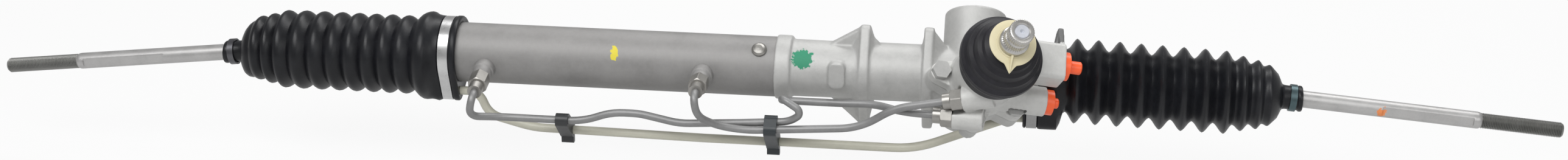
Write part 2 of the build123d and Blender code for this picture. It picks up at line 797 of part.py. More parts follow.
def make_pinion():
    gear = Pos(0, 0, -gear_half_width) * extrude(pinion_outline(), 2 * gear_half_width)
    seat = bearing_inner_radius - press_gap
    head = shaft_seat_radius - press_gap
    shaft = turned_z([
        (0, nut_bottom), (pinion_stud_radius, nut_bottom), (pinion_stud_radius, bearing_bottom),
        (seat, bearing_bottom), (seat, bearing_top), (7.6, bearing_top), (7.6, -gear_half_width - 2),
        (5.2, -gear_half_width), (5.2, gear_half_width), (seal_land_radius, gear_half_width),
        (seal_land_radius, pinion_head_bottom), (head, pinion_head_bottom), (head, pinion_head_top),
        (0, pinion_head_top)])
    bore = rod_z(torsion_bar_radius + run_gap, 0, pinion_head_top + 1)
    return gear + shaft - bore


def make_pinion_nut():
    nut = hexagon_z(15, -36.5, bearing_bottom - press_gap)
    return nut - rod_z(pinion_stud_radius + press_gap, -40, -20)


def make_valve_sleeve():
    """Sleeve with four ring grooves and three rows of drilled ports."""
    outer = valve_sleeve_radius
    sleeve = ring_z(shaft_seat_radius, outer, sleeve_bottom, sleeve_top)
    for height in sleeve_ring_heights():
        sleeve -= ring_z(outer - 1.6, outer + 1, height - 1, height + 1)
    lands = sleeve_ring_heights()
    for lower, upper in zip(lands, lands[1:]):
        height = (lower + upper) / 2
        sleeve -= ring_z(outer - 1.2, outer + 1, height - 2, height + 2)
        for index in range(3):
            drill = Pos(outer / 2, 0, 0) * Rot(0, 90, 0) * Cylinder(1.4, outer + 2)
            sleeve -= Pos(0, 0, height) * Rot(0, 0, 120 * index) * drill
    return sleeve


def sleeve_ring_heights():
    first = sleeve_bottom + 4
    step = (sleeve_top - sleeve_bottom - 8) / 3
    return [first + step * index for index in range(4)]


def make_sleeve_rings():
    inner = valve_sleeve_radius - 1.6 + press_gap
    outer = valve_sleeve_radius + run_gap - 0.02
    rings = [ring_z(inner, outer, h - 0.95, h + 0.95) for h in sleeve_ring_heights()]
    return Compound(children=[in_pinion_frame(ring) for ring in rings])


def make_input_shaft():
    """Valve rotor below, bearing seat, collar, then the splined end with its clamp groove."""
    bottom = pinion_head_top + 0.4
    valve_radius = shaft_seat_radius - run_gap
    shaft = turned_z([
        (0, bottom), (valve_radius, bottom), (valve_radius, snap_height - 1.4),
        (shaft_radius, snap_height + 0.6), (shaft_radius, spline_bottom - 6),
        (11.2, spline_bottom - 5.5), (11.2, spline_bottom - 1), (spline_radius, spline_bottom),
        (spline_radius, clamp_groove_bottom), (spline_radius - 1.6, clamp_groove_bottom + 1),
        (spline_radius - 1.6, clamp_groove_top - 1), (spline_radius, clamp_groove_top),
        (spline_radius, shaft_top - 0.8), (spline_radius - 0.8, shaft_top), (0, shaft_top)])
    shaft -= rod_z(torsion_bar_radius + 1.0, bottom - 1, torsion_head_bottom)
    shaft -= rod_z(torsion_head_radius + press_gap, torsion_head_bottom, shaft_top + 1)
    for index in range(6):
        slot = Pos(valve_radius, 0, (sleeve_bottom + sleeve_top) / 2 + 4) * Box(2.4, 3.2, 22)
        shaft -= Rot(0, 0, 60 * index) * slot
    return shaft - Pos(0, 0, cross_pin_height) * Rot(90, 0, 0) * Cylinder(cross_pin_radius + press_gap, 30)


def make_torsion_bar():
    bar = turned_z([
        (0, 2), (torsion_bar_radius, 2), (torsion_bar_radius, pinion_head_top - 1),
        (torsion_bar_radius - 0.6, pinion_head_top + 3), (torsion_bar_radius - 0.6, torsion_head_bottom - 6),
        (torsion_bar_radius + 0.6, torsion_head_bottom - 1),
        (torsion_bar_radius + 0.6, torsion_head_bottom + 0.5),
        (torsion_head_radius, torsion_head_bottom + 0.5),
        (torsion_head_radius, shaft_top - 0.8), (torsion_head_radius - 0.5, shaft_top - 0.3),
        (1.8, shaft_top - 0.3), (0, shaft_top - 2.2)])
    return bar - Pos(0, 0, cross_pin_height) * Rot(90, 0, 0) * Cylinder(cross_pin_radius + press_gap, 30)


def make_cross_pin():
    return Pos(0, 0, cross_pin_height) * Rot(90, 0, 0) * Cylinder(cross_pin_radius, 2 * spline_radius - 0.6)


def make_dust_cover():
    """Stepped rubber cover from the valve housing up to the input shaft."""
    steps = [(5.5, 1), (5.5, 10), (6.5, 13), (9.2, 16.5), (10, 19), (9.6, 22.5), (7.5, 24.5), (6.2, 27),
             (5.6, 31), (3.0, 33), (2.2, 37), (1.4, 40), (-1.4, 42), (-2.6, 45), (-5.6, 47)]
    outline = [(spigot_radius + out, spigot_bottom + up) for out, up in steps]
    lip = shaft_radius + rubber_gap
    outline += [(lip + cover_wall, cover_top - 3), (lip + cover_wall, cover_top)]
    foot = ring_z(spigot_radius + 0.1, spigot_radius + 5, spigot_bottom + 1, spigot_bottom + 12)
    return bellows(outline, cover_wall) + foot


def make_shaft_protector():
    """Thin plastic disc round the shaft with a folded pointer tab."""
    outline = hull_of([(0, 0, protector_radius), (-1.5, 1 - protector_tip, 1)])
    disc = Pos(0, 0, protector_bottom) * extrude(outline, 1.4)
    disc += ring_z(shaft_radius + 0.1, shaft_radius + 2.3, protector_bottom, protector_bottom + 1.7)
    side = make_face(Polyline((0, -6, 0), (0, 6, 0), (0, 6, 6.4), (0, -6, 1.4), close=True))
    rib = Pos(0.4, -17.8, protector_bottom + 0.8) * Rot(0, 0, -16) * extrude(side, 1.0, both=True)
    return disc + rib - rod_z(shaft_radius + 0.05, protector_bottom - 1, protector_bottom + 5)


# ---------------------------------------------------------------- bearings, seals, caps
def make_ball_group():
    count = 9
    middle = (bearing_bottom + bearing_top) / 2
    pitch_circle = (bearing_outer_radius + bearing_inner_radius) / 2
    balls = []
    for index in range(count):
        turn = 360 * index / count
        balls.append(in_pinion_frame(Rot(0, 0, turn) * Pos(pitch_circle, 0, middle) * Sphere(2.0)))
    return Compound(children=balls)


def race(inner, outer, raceway_radius):
    """Bearing ring with a round raceway."""
    middle = (bearing_bottom + bearing_top) / 2
    ring = ring_z(inner, outer, bearing_bottom + 0.02, bearing_top - 0.02)
    return ring - Pos(0, 0, middle) * Torus(raceway_radius, 2.0 + run_gap)


def make_bottom_cap():
    """Screwed plug with a hexagon head that closes the pinion bore."""
    cap = rod_z(bearing_outer_radius - press_gap, lower_end, -39.5) - rod_z(8.5, -42, -39)
    return cap + hexagon_z(24, lower_end - 6, lower_end)


def make_yoke():
    """Rack guide: a cylinder hollowed to the rack's back, with a spring pocket."""
    yoke = rod_z(yoke_radius - run_gap, yoke_foot, yoke_height)
    yoke = chamfer(yoke.edges().sort_by(Axis.Z)[-1], 1)
    yoke -= Rot(0, 90, 0) * Cylinder(rack_radius + liner_thickness + 2 * run_gap, 3 * yoke_radius)
    yoke -= rod_z(spring_radius + 1.8, spring_bottom, yoke_height + 1)
    return yoke


def make_yoke_liner():
    """Low-friction shell between rack and yoke."""
    shell = Rot(0, 90, 0) * (Cylinder(rack_radius + liner_thickness + run_gap, 22)
                             - Cylinder(rack_radius + run_gap, 24))
    return shell & rod_z(yoke_radius - 1, 5.5, 16)


def make_yoke_spring():
    wire = 1.3
    low = spring_bottom + wire
    height = yoke_plug_bottom - spring_bottom - 2 * wire
    path = Helix(height / 3, height, spring_radius)
    section = Plane(path @ 0, z_dir=path % 0) * Circle(wire)
    return Pos(0, 0, low) * sweep(section, path)


def make_yoke_plug():
    plug = rod_z(yoke_plug_radius - press_gap, yoke_plug_bottom, yoke_plug_top)
    return plug - hexagon_z(17, yoke_plug_top - 6, yoke_plug_top + 1)


# ---------------------------------------------------------------- boots, side frame of the rack
def inner_line(points, wall):
    """The same (radius, z) line moved inwards by the wall, corners mitred."""
    moved = []
    for index, (radius, z) in enumerate(points):
        normals = []
        for start, end in ((index - 1, index), (index, index + 1)):
            if start >= 0 and end < len(points):
                along = (Vector(*points[end]) - Vector(*points[start])).normalized()
                normals.append(Vector(-along.Y, along.X))
        total = normals[0] + normals[-1]
        miter = total * (2 * wall / total.length ** 2)
        moved.append((radius + miter.X, z + miter.Y))
    return moved


def bellows(points, wall):
    """Thin-walled shell of revolution about Z from its outer (radius, z) line."""
    return turned_z(points + list(reversed(inner_line(points, wall))))


def neck_start(side):
    return left_neck_start if side < 0 else right_neck_start


def cuff_direction():
    return Vector(0, -sin(radians(breather_angle)), -cos(radians(breather_angle)))


def cuff_outline(main_radius, lobe_radius):
    """Egg-shaped section: the round of the cuff hulled with the breather's lobe."""
    lobe = cuff_direction() * breather_offset
    return Plane.YZ * hull_of([(0, 0, main_radius), (lobe.Y, lobe.Z, lobe_radius)])


def nozzle_hole(start, end):
    lobe = cuff_direction() * breather_offset
    return Pos(start, lobe.Y, lobe.Z) * Rot(0, 90, 0) * rod_z(breather_radius + 0.05, 0, end - start)


def make_left_boot():
    drop = cuff_direction() * left_boot_drop
    plane = frame_along((left_bellows_start, drop.Y, drop.Z), (-1, 0, 0))
    crest, valley, pitch = left_crest_radius, left_valley_radius, left_pitch
    points = [(crest - 4, 0), (crest + 1.6, 3), (crest + 3.4, 6.5), (crest + 3.4, 10), (crest + 1, 14),
              (valley, 18.2)]
    first = 26.0
    for index in range(left_crests):
        middle = first + pitch * index
        points += [(crest - 1.1, middle - 3.2), (crest, middle - 1.2)]
        points += [(crest, middle + 1.2), (crest - 1.1, middle + 3.2)]
        points += [(valley, middle + pitch / 2 - 0.6), (valley, middle + pitch / 2 + 0.6)]
    tail = first + pitch * (left_crests - 0.5)
    points += [(crest - 3.6, tail + 4.4), (crest - 3.6, tail + 6), (valley - 2.2, tail + 9.5),
               (valley - 1.8, tail + 13.5), (valley - 3, tail + 16.5), (valley - 7, tail + 21.5),
               (valley - 13, tail + 26), (rod_radius - 3, tail + 31.5)]
    shell = plane.location * bellows(points, boot_wall)
    cuff = Pos(left_bellows_start - 2, 0, 0) * extrude(cuff_outline(left_cuff_radius, lobe_radius),
                                                       left_cuff_end - left_bellows_start + 2)
    boot = shell + cuff
    boot -= rod_x(tube_radius + 0.05, tube_left - 0.3, left_cuff_end + 1)
    boot -= nozzle_hole(left_bellows_start - 3, left_cuff_end + 1)
    return finish_neck(boot, -1)


def finish_neck(boot, side):
    """Opens the end wall round the rod and adds the neck that grips it."""
    inner = rod_radius + small_neck_inner
    start = neck_start(side)
    place = rod_plane(side).location
    boot -= place * rod_z(inner, start - 20, start + neck_length + 5)
    return boot + place * ring_z(inner, inner + boot_wall, start - 4.0, start + neck_length)


def make_right_boot():
    side = 1
    reach = neck_start(side)
    start = Vector(right_cuff_end, 0, 0)
    end = rod_plane(side).origin + rod_plane(side).z_dir * reach
    plane = frame_along(start, (end - start).normalized())
    length = (end - start).length
    crest, valley, pitch = right_crest_radius, right_valley_radius, right_pitch
    points = [(valley - 0.6, -2.0), (valley - 0.6, 4.5)]
    for index in range(right_crests):
        middle = right_first_crest + pitch * index
        points += [(crest - 1.5, middle - 1.3), (crest, middle - 0.3)]
        points += [(crest, middle + 0.3), (crest - 1.5, middle + 1.3)]
        points += [(valley, middle + pitch / 2 - 0.6), (valley, middle + pitch / 2 + 0.6)]
    tail = right_first_crest + pitch * (right_crests - 0.5)
    points += [(crest - 3.8, tail + 3.9), (crest - 3.8, tail + 4.9), (valley + 0.4, tail + 9.0),
               (crest - 6.2, tail + 15.0), (crest - 6.2, tail + 16.0), (valley - 1.2, tail + 19.4),
               (valley - 1.4, tail + 23.6), (valley - 3.4, tail + 26), (rod_radius + 4, length - 1),
               (rod_radius - 2, length)]
    shell = plane.location * bellows(points, boot_wall)
    cuff = Pos(right_cuff_start, 0, 0) * extrude(cuff_outline(right_cuff_radius, lobe_radius),
                                                 right_cuff_end - right_cuff_start)
    boot = shell + cuff
    boot -= rod_x(cuff_seat_radius + 0.05, right_cuff_start - 1, right_cuff_end)
    boot -= rod_x(barrel_radius + 0.05, housing_right - 4.2, housing_right + 2)
    boot -= nozzle_hole(right_cuff_start - 1, right_cuff_end - 5)
    return finish_neck(boot, side)


def make_band(x, main_radius):
    """Flat steel band closed round the cuff, lobe included."""
    outer = cuff_outline(main_radius + band_thickness, lobe_radius + band_thickness)
    inner = cuff_outline(main_radius + 0.05, lobe_radius + 0.05)
    return Pos(x, 0, 0) * (extrude(outer, band_width) - extrude(inner, band_width))


# ---------------------------------------------------------------- pipes


def port_point(x, dip, reach):
    return Vector(x, 0, 0) + port_direction(dip) * reach


def lobe_point(x):
    lobe = cuff_direction() * breather_offset
    return Vector(x, lobe.Y, lobe.Z)


def route_plane(route, x):
    """Plane on a route where it crosses x, its normal along the straight run there."""
    for start, end in zip(route, route[1:]):
        if start[0] <= x <= end[0]:
            first = Vector(*start)
            run = Vector(*end) - first
            return frame_along(first + run * ((x - start[0]) / run.X), run.normalized())
    raise ValueError("the route doesn't reach this x")


def bent_tube(points, radius, largest):
    """Round tube along straight runs joined by arcs as large as the runs allow."""
    points = [Vector(*p) for p in points]
    radii = []
    for before, corner, after in zip(points, points[1:], points[2:]):
        turn = radians((corner - before).get_angle(after - corner))
        run = min((corner - before).length, (after - corner).length)
        radii.append(min(largest, 0.45 * run / tan(turn / 2)))
    path = FilletPolyline(*points, radius=radii)
    section = Plane(path @ 0, z_dir=path % 0) * Circle(radius)
    return sweep(section, path, transition=Transition.RIGHT)


def make_left_pipe():
    start = port_point(port_left_x, port_left_dip, port_boss_end + 2)
    bend = port_point(port_left_x, port_left_dip, port_reach)
    end = nut_two_seat + (nut_two_seat - nut_two_corner).normalized() * 3
    return bent_tube([start, bend] + left_pipe_route + [nut_two_corner, end], pipe_radius, 60)


def make_right_pipe():
    start = port_point(port_right_x, port_right_dip, port_boss_end + 2)
    bend = port_point(port_right_x, port_right_dip, port_reach)
    end = nut_one_seat + (nut_one_seat - nut_one_corner).normalized() * 3
    return bent_tube([start, bend] + right_pipe_route + [nut_one_corner, end], pipe_radius, 60)


def make_breather_tube():
    first = [lobe_point(left_cuff_end - 14), lobe_point(breather_left_bend)]
    last = [lobe_point(breather_right_bend), lobe_point(right_cuff_start + 16)]
    return bent_tube(first + breather_route + last, breather_radius, 90)


def make_clip(x, lines):
    """Snap clip: a plate with a round seat for each line it holds, and a hook below."""
    planes = [(route_plane(route, x), radius) for route, radius in lines]
    outline = hull_of([(plane.origin.Y, plane.origin.Z, radius + clip_wall) for plane, radius in planes])
    clip = Pos(x - clip_width / 2, 0, 0) * extrude(Plane.YZ * outline, clip_width)
    last, radius = planes[-1]
    hook = Pos(x, last.origin.Y + 1, last.origin.Z - radius - 4.5) * Box(clip_width, 5, 7)
    clip += fillet(hook.edges().filter_by(Axis.X), 1.5)
    for plane, radius in planes:
        clip -= plane.location * rod_z(radius + 0.05, -clip_width, clip_width)
    return clip


# ---------------------------------------------------------------- all parts
def main():
    os.makedirs("parts", exist_ok=True)
    save(make_rack_bar(), "rack_bar")
    save(make_piston(), "piston")
    save(make_piston_ring(), "piston_ring")
    for side, name in ((-1, "left"), (1, "right")):
        save(socket_plane(side).location * make_socket(), f"{name}_ball_socket")
        save(washer_plane(side).location * make_lock_washer(), f"{name}_lock_washer")
        save(rod_plane(side).location * make_ball_seat(), f"{name}_ball_seat")
        save(rod_plane(side).location * make_tie_rod(), f"{name}_tie_rod")
        save(rod_plane(side).location * make_small_clip(side), f"{name}_boot_clip")
    save(make_cylinder_tube(), "cylinder_tube")
    save(make_port_bosses(), "cylinder_port_bosses")
    save(make_cylinder_nuts(), "cylinder_flare_nuts")
    save(make_end_stopper(), "cylinder_end_stopper")
    save(make_end_seal(), "outer_rack_seal")
    save(make_inner_bush(), "inner_seal_holder")
    save(make_inner_seal(), "inner_rack_seal")
    save(plug_plane().location * make_dome_plug(), "cylinder_plug")

    save(make_gear_housing(), "gear_housing")
    save(ring_x(rack_radius + run_gap, rack_bush_radius - press_gap, rack_bush_left, housing_right - 1),
         "rack_bush")
    save(make_valve_housing(), "valve_housing")
    save(make_housing_bolts(), "housing_bolts")
    save(make_valve_nuts(), "valve_flare_nuts")
    save(port_plane(*port_places()[0]) * make_port_plug(11.0, 4.5, 5.0, 10.6), "upper_port_plug")
    save(port_plane(*port_places()[1]) * make_port_plug(9.8, 6.0, 4.0, 5.0), "lower_port_plug")

    save(in_pinion_frame(make_pinion()), "pinion")
    save(in_pinion_frame(make_pinion_nut()), "pinion_nut")
    save(in_pinion_frame(make_valve_sleeve()), "valve_sleeve")
    save(make_sleeve_rings(), "valve_sleeve_rings")
    save(in_pinion_frame(make_input_shaft()), "input_shaft")
    save(in_pinion_frame(make_torsion_bar()), "torsion_bar")
    save(in_pinion_frame(make_cross_pin()), "torsion_bar_pin")
    save(in_pinion_frame(race(bearing_inner_radius, 9.0, 10.0)), "lower_bearing_inner")
    save(in_pinion_frame(race(11.2, bearing_outer_radius - press_gap, 10.0)), "lower_bearing_outer")
    save(make_ball_group(), "lower_bearing_balls")
    save(in_pinion_frame(make_bottom_cap()), "pinion_bottom_cap")
    save(in_pinion_frame(ring_z(seal_land_radius + run_gap, seal_radius - press_gap,
                                seal_bottom + 0.2, joint_height - 0.5)), "pinion_seal")
    save(in_pinion_frame(ring_z(shaft_seat_radius + run_gap, top_bore_radius - press_gap,
                                spigot_bottom, upper_bearing_top)),
         "upper_bearing")
    save(in_pinion_frame(ring_z(shaft_seat_radius + run_gap, top_bore_radius - press_gap,
                                input_seal_bottom, input_seal_top)),
         "input_seal")
    save(in_pinion_frame(ring_z(top_bore_radius - 1.5, top_bore_radius + 0.8, snap_height + 0.05,
                                snap_height + 1.3)), "input_snap_ring")
    save(in_pinion_frame(make_dust_cover()), "dust_cover")
    save(in_pinion_frame(make_shaft_protector()), "shaft_protector")

    save(tower_frame.location * make_yoke(), "rack_yoke")
    save(tower_frame.location * make_yoke_liner(), "yoke_liner")
    save(tower_frame.location * make_yoke_spring(), "yoke_spring")
    save(tower_frame.location * make_yoke_plug(), "yoke_plug")

    save(make_left_boot(), "left_boot")
    save(make_right_boot(), "right_boot")
    save(make_band(left_band_x, left_cuff_radius), "left_boot_band")
    save(make_band(right_band_x, right_cuff_radius), "right_boot_band")
    save(make_left_pipe(), "left_cylinder_pipe")
    save(make_right_pipe(), "right_cylinder_pipe")
    save(make_breather_tube(), "breather_tube")
    upper = (left_pipe_route, pipe_radius)
    lower = (right_pipe_route, pipe_radius)
    breather = (breather_route, breather_radius)
    save(make_clip(left_clip_x, [upper, breather]), "left_pipe_clip")
    save(make_clip(right_clip_x, [upper, lower, breather]), "right_pipe_clip")


main()
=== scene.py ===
"""Looks for the steering gear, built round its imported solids."""

import json
import math

import bpy
from mathutils import Matrix, Vector


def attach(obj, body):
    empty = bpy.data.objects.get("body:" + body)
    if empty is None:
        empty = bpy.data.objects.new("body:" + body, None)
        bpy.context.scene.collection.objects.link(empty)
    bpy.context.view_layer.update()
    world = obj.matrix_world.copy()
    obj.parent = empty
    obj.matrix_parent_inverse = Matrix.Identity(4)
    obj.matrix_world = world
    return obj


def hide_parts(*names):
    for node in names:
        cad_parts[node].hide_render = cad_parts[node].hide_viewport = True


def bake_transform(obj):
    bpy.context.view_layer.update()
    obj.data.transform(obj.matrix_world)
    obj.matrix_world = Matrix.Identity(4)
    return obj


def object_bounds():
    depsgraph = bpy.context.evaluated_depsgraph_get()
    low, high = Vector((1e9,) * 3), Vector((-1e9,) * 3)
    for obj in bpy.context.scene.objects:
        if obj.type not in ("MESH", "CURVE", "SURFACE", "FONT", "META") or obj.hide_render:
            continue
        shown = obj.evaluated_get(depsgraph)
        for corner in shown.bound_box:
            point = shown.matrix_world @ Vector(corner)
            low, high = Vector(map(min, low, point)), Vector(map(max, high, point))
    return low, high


MM = 0.001
MERGE_DISTANCE = 1e-6
FINE_MERGE_DISTANCE = 1e-7
SHARP_ANGLE = math.radians(40)
CASTING_SHARP_ANGLE = math.radians(50)

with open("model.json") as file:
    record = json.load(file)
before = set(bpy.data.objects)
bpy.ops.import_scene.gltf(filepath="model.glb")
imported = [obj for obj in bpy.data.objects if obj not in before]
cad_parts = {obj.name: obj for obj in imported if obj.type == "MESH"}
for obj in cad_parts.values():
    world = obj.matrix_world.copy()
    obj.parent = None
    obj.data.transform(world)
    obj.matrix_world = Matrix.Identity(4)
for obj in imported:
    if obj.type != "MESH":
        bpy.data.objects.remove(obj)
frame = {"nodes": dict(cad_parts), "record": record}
cad_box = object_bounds()
nodes = frame["nodes"]


# ---------------------------------------------------------------- shared shader groups
EDGE_CONTRAST = 9.0
DAB_CONTRAST = 9.0
FINE_CLOUDS = 7.3
FINE_CLOUD_SHARE = 0.6
LUMP_SIZE = 0.12


def new_group(name, inputs, outputs):
    """An empty node group with float inputs and outputs; returns it with its two ends."""
    group = bpy.data.node_groups.new(name, "ShaderNodeTree")
    for label, value in inputs:
        socket = group.interface.new_socket(label, in_out="INPUT", socket_type="NodeSocketFloat")
        socket.default_value = value
    for label in outputs:
        group.interface.new_socket(label, in_out="OUTPUT", socket_type="NodeSocketFloat")
    start = group.nodes.new("NodeGroupInput")
    end = group.nodes.new("NodeGroupOutput")
    return group, start, end


def feed(tree, socket, value):
    """Sets a socket to a number, or links it to another socket."""
    if isinstance(value, float):
        socket.default_value = value
    else:
        tree.links.new(value, socket)


def add_math(tree, operation, first, second, clamp=False):
    """A math node on two values, each a number or a socket."""
    node = tree.nodes.new("ShaderNodeMath")
    node.operation = operation
    node.use_clamp = clamp
    feed(tree, node.inputs[0], first)
    feed(tree, node.inputs[1], second)
    return node.outputs[0]


def add_noise(tree, vector, scale, detail, rough=0.5):
    """A noise texture, from 0 to 1."""
    node = tree.nodes.new("ShaderNodeTexNoise")
    node.inputs["Detail"].default_value = detail
    node.inputs["Roughness"].default_value = rough
    tree.links.new(vector, node.inputs["Vector"])
    feed(tree, node.inputs["Scale"], scale)
    return node.outputs["Fac"]


def object_place(group):
    """Object coordinates, in metres from the part's origin."""
    return group.nodes.new("ShaderNodeTexCoord").outputs["Object"]


def vector_math(group, operation, first, second=None):
    """A vector math node on one or two sockets."""
    node = group.nodes.new("ShaderNodeVectorMath")
    node.operation = operation
    group.links.new(first, node.inputs[0])
    if second is not None:
        group.links.new(second, node.inputs[1])
    return node


def join_axes(group, sockets):
    """One vector from three sockets."""
    node = group.nodes.new("ShaderNodeCombineXYZ")
    for index, socket in enumerate(sockets):
        group.links.new(socket, node.inputs[index])
    return node.outputs["Vector"]


def make_mottling():
    """Cloudy light and dark patches, from -1 to 1."""
    group, start, end = new_group("mottling", [("Scale", 60.0), ("Contrast", 2.5)], ["Value"])
    place = object_place(group)
    broad = add_noise(group, place, start.outputs["Scale"], 3.0, 0.55)
    fine_scale = add_math(group, "MULTIPLY", start.outputs["Scale"], FINE_CLOUDS)
    fine = add_noise(group, place, fine_scale, 4.0, 0.65)
    both = add_math(group, "ADD", broad, add_math(group, "MULTIPLY", fine, FINE_CLOUD_SHARE))
    centred = add_math(group, "SUBTRACT", both, 0.5 + 0.5 * FINE_CLOUD_SHARE)
    strong = add_math(group, "MULTIPLY", centred, start.outputs["Contrast"])
    low = add_math(group, "MAXIMUM", strong, -1.0)
    group.links.new(add_math(group, "MINIMUM", low, 1.0), end.inputs["Value"])
    return group


def make_grain():
    """Fine pits and bumps of a blasted or moulded skin."""
    group, start, end = new_group("grain", [("Scale", 1500.0), ("Lumps", 0.3)], ["Height"])
    place = object_place(group)
    fine = add_noise(group, place, start.outputs["Scale"], 2.0, 0.6)
    lumps = add_noise(group, place, add_math(group, "MULTIPLY", start.outputs["Scale"], LUMP_SIZE), 2.0)
    height = add_math(group, "ADD", fine, add_math(group, "MULTIPLY", lumps, start.outputs["Lumps"]))
    group.links.new(height, end.inputs["Height"])
    return group


def make_edges():
    """1 on rounded-off outer edges and 0 elsewhere, broken up by noise."""
    group, start, end = new_group("edges", [("Radius", 0.0008), ("Amount", 1.0)], ["Mask"])
    bevel = group.nodes.new("ShaderNodeBevel")
    bevel.samples = 4
    group.links.new(start.outputs["Radius"], bevel.inputs["Radius"])
    geometry = group.nodes.new("ShaderNodeNewGeometry")
    dot = vector_math(group, "DOT_PRODUCT", bevel.outputs["Normal"], geometry.outputs["Normal"])
    bent = add_math(group, "SUBTRACT", 1.0, dot.outputs["Value"])
    strong = add_math(group, "MULTIPLY", bent, EDGE_CONTRAST, clamp=True)
    place = object_place(group)
    broken = add_math(group, "MULTIPLY", strong, add_noise(group, place, 220.0, 3.0))
    group.links.new(add_math(group, "MULTIPLY", broken, start.outputs["Amount"]), end.inputs["Mask"])
    return group


def make_lines():
    """Fine turning or drawing marks, as a height; they run along the axis with the lowest value."""
    axes = ("Along X", "Along Y", "Along Z")
    group, start, end = new_group("lines", [(axis, 1.0) for axis in axes], ["Height"])
    place = object_place(group)
    stretch = join_axes(group, [start.outputs[axis] for axis in axes])
    stretched = vector_math(group, "MULTIPLY", place, stretch)
    group.links.new(add_noise(group, stretched.outputs["Vector"], 1.0, 3.0, 0.7), end.inputs["Height"])
    return group


def make_spot():
    """A ragged oval dab that reaches Width along X and Height across it: 1 inside and 0 outside."""
    inputs = [("X", 0.0), ("Y", 0.0), ("Z", 0.0), ("Width", 0.004), ("Height", 0.004), ("Ragged", 0.3)]
    group, start, end = new_group("spot", inputs, ["Mask"])
    place = object_place(group)
    centre = join_axes(group, [start.outputs[axis] for axis in "XYZ"])
    offset = vector_math(group, "SUBTRACT", place, centre)
    reach = join_axes(group, [start.outputs[label] for label in ("Width", "Height", "Height")])
    share = vector_math(group, "DIVIDE", offset.outputs["Vector"], reach)
    length = vector_math(group, "LENGTH", share.outputs["Vector"])
    wobble = add_math(group, "SUBTRACT", add_noise(group, place, 330.0, 3.0, 0.6), 0.5)
    swing = add_math(group, "MULTIPLY", start.outputs["Ragged"], 6.0)
    ragged = add_math(group, "MULTIPLY", wobble, swing)
    inside = add_math(group, "SUBTRACT", 1.0, add_math(group, "ADD", length.outputs["Value"], ragged))
    group.links.new(add_math(group, "MULTIPLY", inside, DAB_CONTRAST, clamp=True), end.inputs["Mask"])
    return group


MOTTLING = make_mottling()
GRAIN = make_grain()
EDGES = make_edges()
LINES = make_lines()
SPOT = make_spot()


# ---------------------------------------------------------------- materials
MOTTLED_GLOSS = 0.07
WORN_EDGE = 0.0009


def scaled(colour, factor):
    """The colour made lighter or darker, at most white."""
    return tuple(min(1.0, channel * factor) for channel in colour)


class Finish:
    """A Principled material whose colour, roughness and height are built up in layers."""

    def __init__(self, name, colour, roughness, metallic, **plain):
        self.material = bpy.data.materials.new(name)
        self.material.use_nodes = True
        self.tree = self.material.node_tree
        self.shader = self.tree.nodes["Principled BSDF"]
        self.shader.inputs["Base Color"].default_value = (*colour, 1.0)
        self.shader.inputs["Roughness"].default_value = roughness
        self.shader.inputs["Metallic"].default_value = metallic
        for label, value in plain.items():
            self.shader.inputs[label.replace("_", " ")].default_value = value
        self.colour = colour
        self.colour_socket = None
        self.roughness = roughness

    def group(self, group, **values):
        """Places a shared group with this material's own values."""
        node = self.tree.nodes.new("ShaderNodeGroup")
        node.node_tree = group
        for label, value in values.items():
            node.inputs[label.replace("_", " ")].default_value = value
        return node.outputs[0]

    def tint(self, mask, colour, strength=1.0):
        """Mixes a colour in where the mask is 1."""
        mix = self.tree.nodes.new("ShaderNodeMix")
        mix.data_type = "RGBA"
        factor = add_math(self.tree, "MULTIPLY", mask, strength, clamp=True)
        self.tree.links.new(factor, mix.inputs["Factor"])
        if self.colour_socket is None:
            mix.inputs["A"].default_value = (*self.colour, 1.0)
        else:
            self.tree.links.new(self.colour_socket, mix.inputs["A"])
        mix.inputs["B"].default_value = (*colour, 1.0)
        self.colour_socket = mix.outputs["Result"]
        self.tree.links.new(self.colour_socket, self.shader.inputs["Base Color"])

    def mottle(self, scale, spread, light, dark, contrast=2.5):
        """Light and dark clouds on the colour, the light ones a little rougher."""
        value = self.group(MOTTLING, Scale=scale, Contrast=contrast)
        self.tint(value, scaled(self.colour, light), spread)
        self.tint(add_math(self.tree, "MULTIPLY", value, -1.0), scaled(self.colour, dark), spread)
        change = add_math(self.tree, "MULTIPLY", value, MOTTLED_GLOSS)
        total = add_math(self.tree, "ADD", change, self.roughness, clamp=True)
        self.tree.links.new(total, self.shader.inputs["Roughness"])

    def bump(self, height, depth):
        """Raises the skin by a height of up to the given depth."""
        node = self.tree.nodes.new("ShaderNodeBump")
        node.inputs["Distance"].default_value = depth
        node.inputs["Strength"].default_value = 1.0
        self.tree.links.new(height, node.inputs["Height"])
        self.tree.links.new(node.outputs["Normal"], self.shader.inputs["Normal"])

    def paint(self, mask, colour):
        """A dab of paint: its own colour, and not metallic."""
        self.tint(mask, colour)
        bare = add_math(self.tree, "SUBTRACT", 1.0, mask)
        metal = self.shader.inputs["Metallic"]
        self.tree.links.new(add_math(self.tree, "MULTIPLY", bare, metal.default_value), metal)


def cast_aluminium(name, colour, grain):
    """Blasted casting with a pitted skin and paler worn edges."""
    finish = Finish(name, colour, roughness=0.58, metallic=0.45)
    finish.mottle(scale=45.0, spread=0.55, light=1.25, dark=0.68)
    finish.tint(finish.group(EDGES, Radius=WORN_EDGE, Amount=1.0), scaled(colour, 1.25), strength=0.8)
    finish.bump(finish.group(GRAIN, Scale=grain, Lumps=0.8), depth=0.00012)
    return finish


def drawn_steel(name, colour, roughness, metallic):
    """Tube or pipe steel with drawing marks along X."""
    finish = Finish(name, colour, roughness, metallic)
    finish.mottle(scale=38.0, spread=0.5, light=1.35, dark=0.62)
    finish.bump(finish.group(LINES, Along_X=60.0, Along_Y=900.0, Along_Z=900.0), depth=0.00003)
    return finish


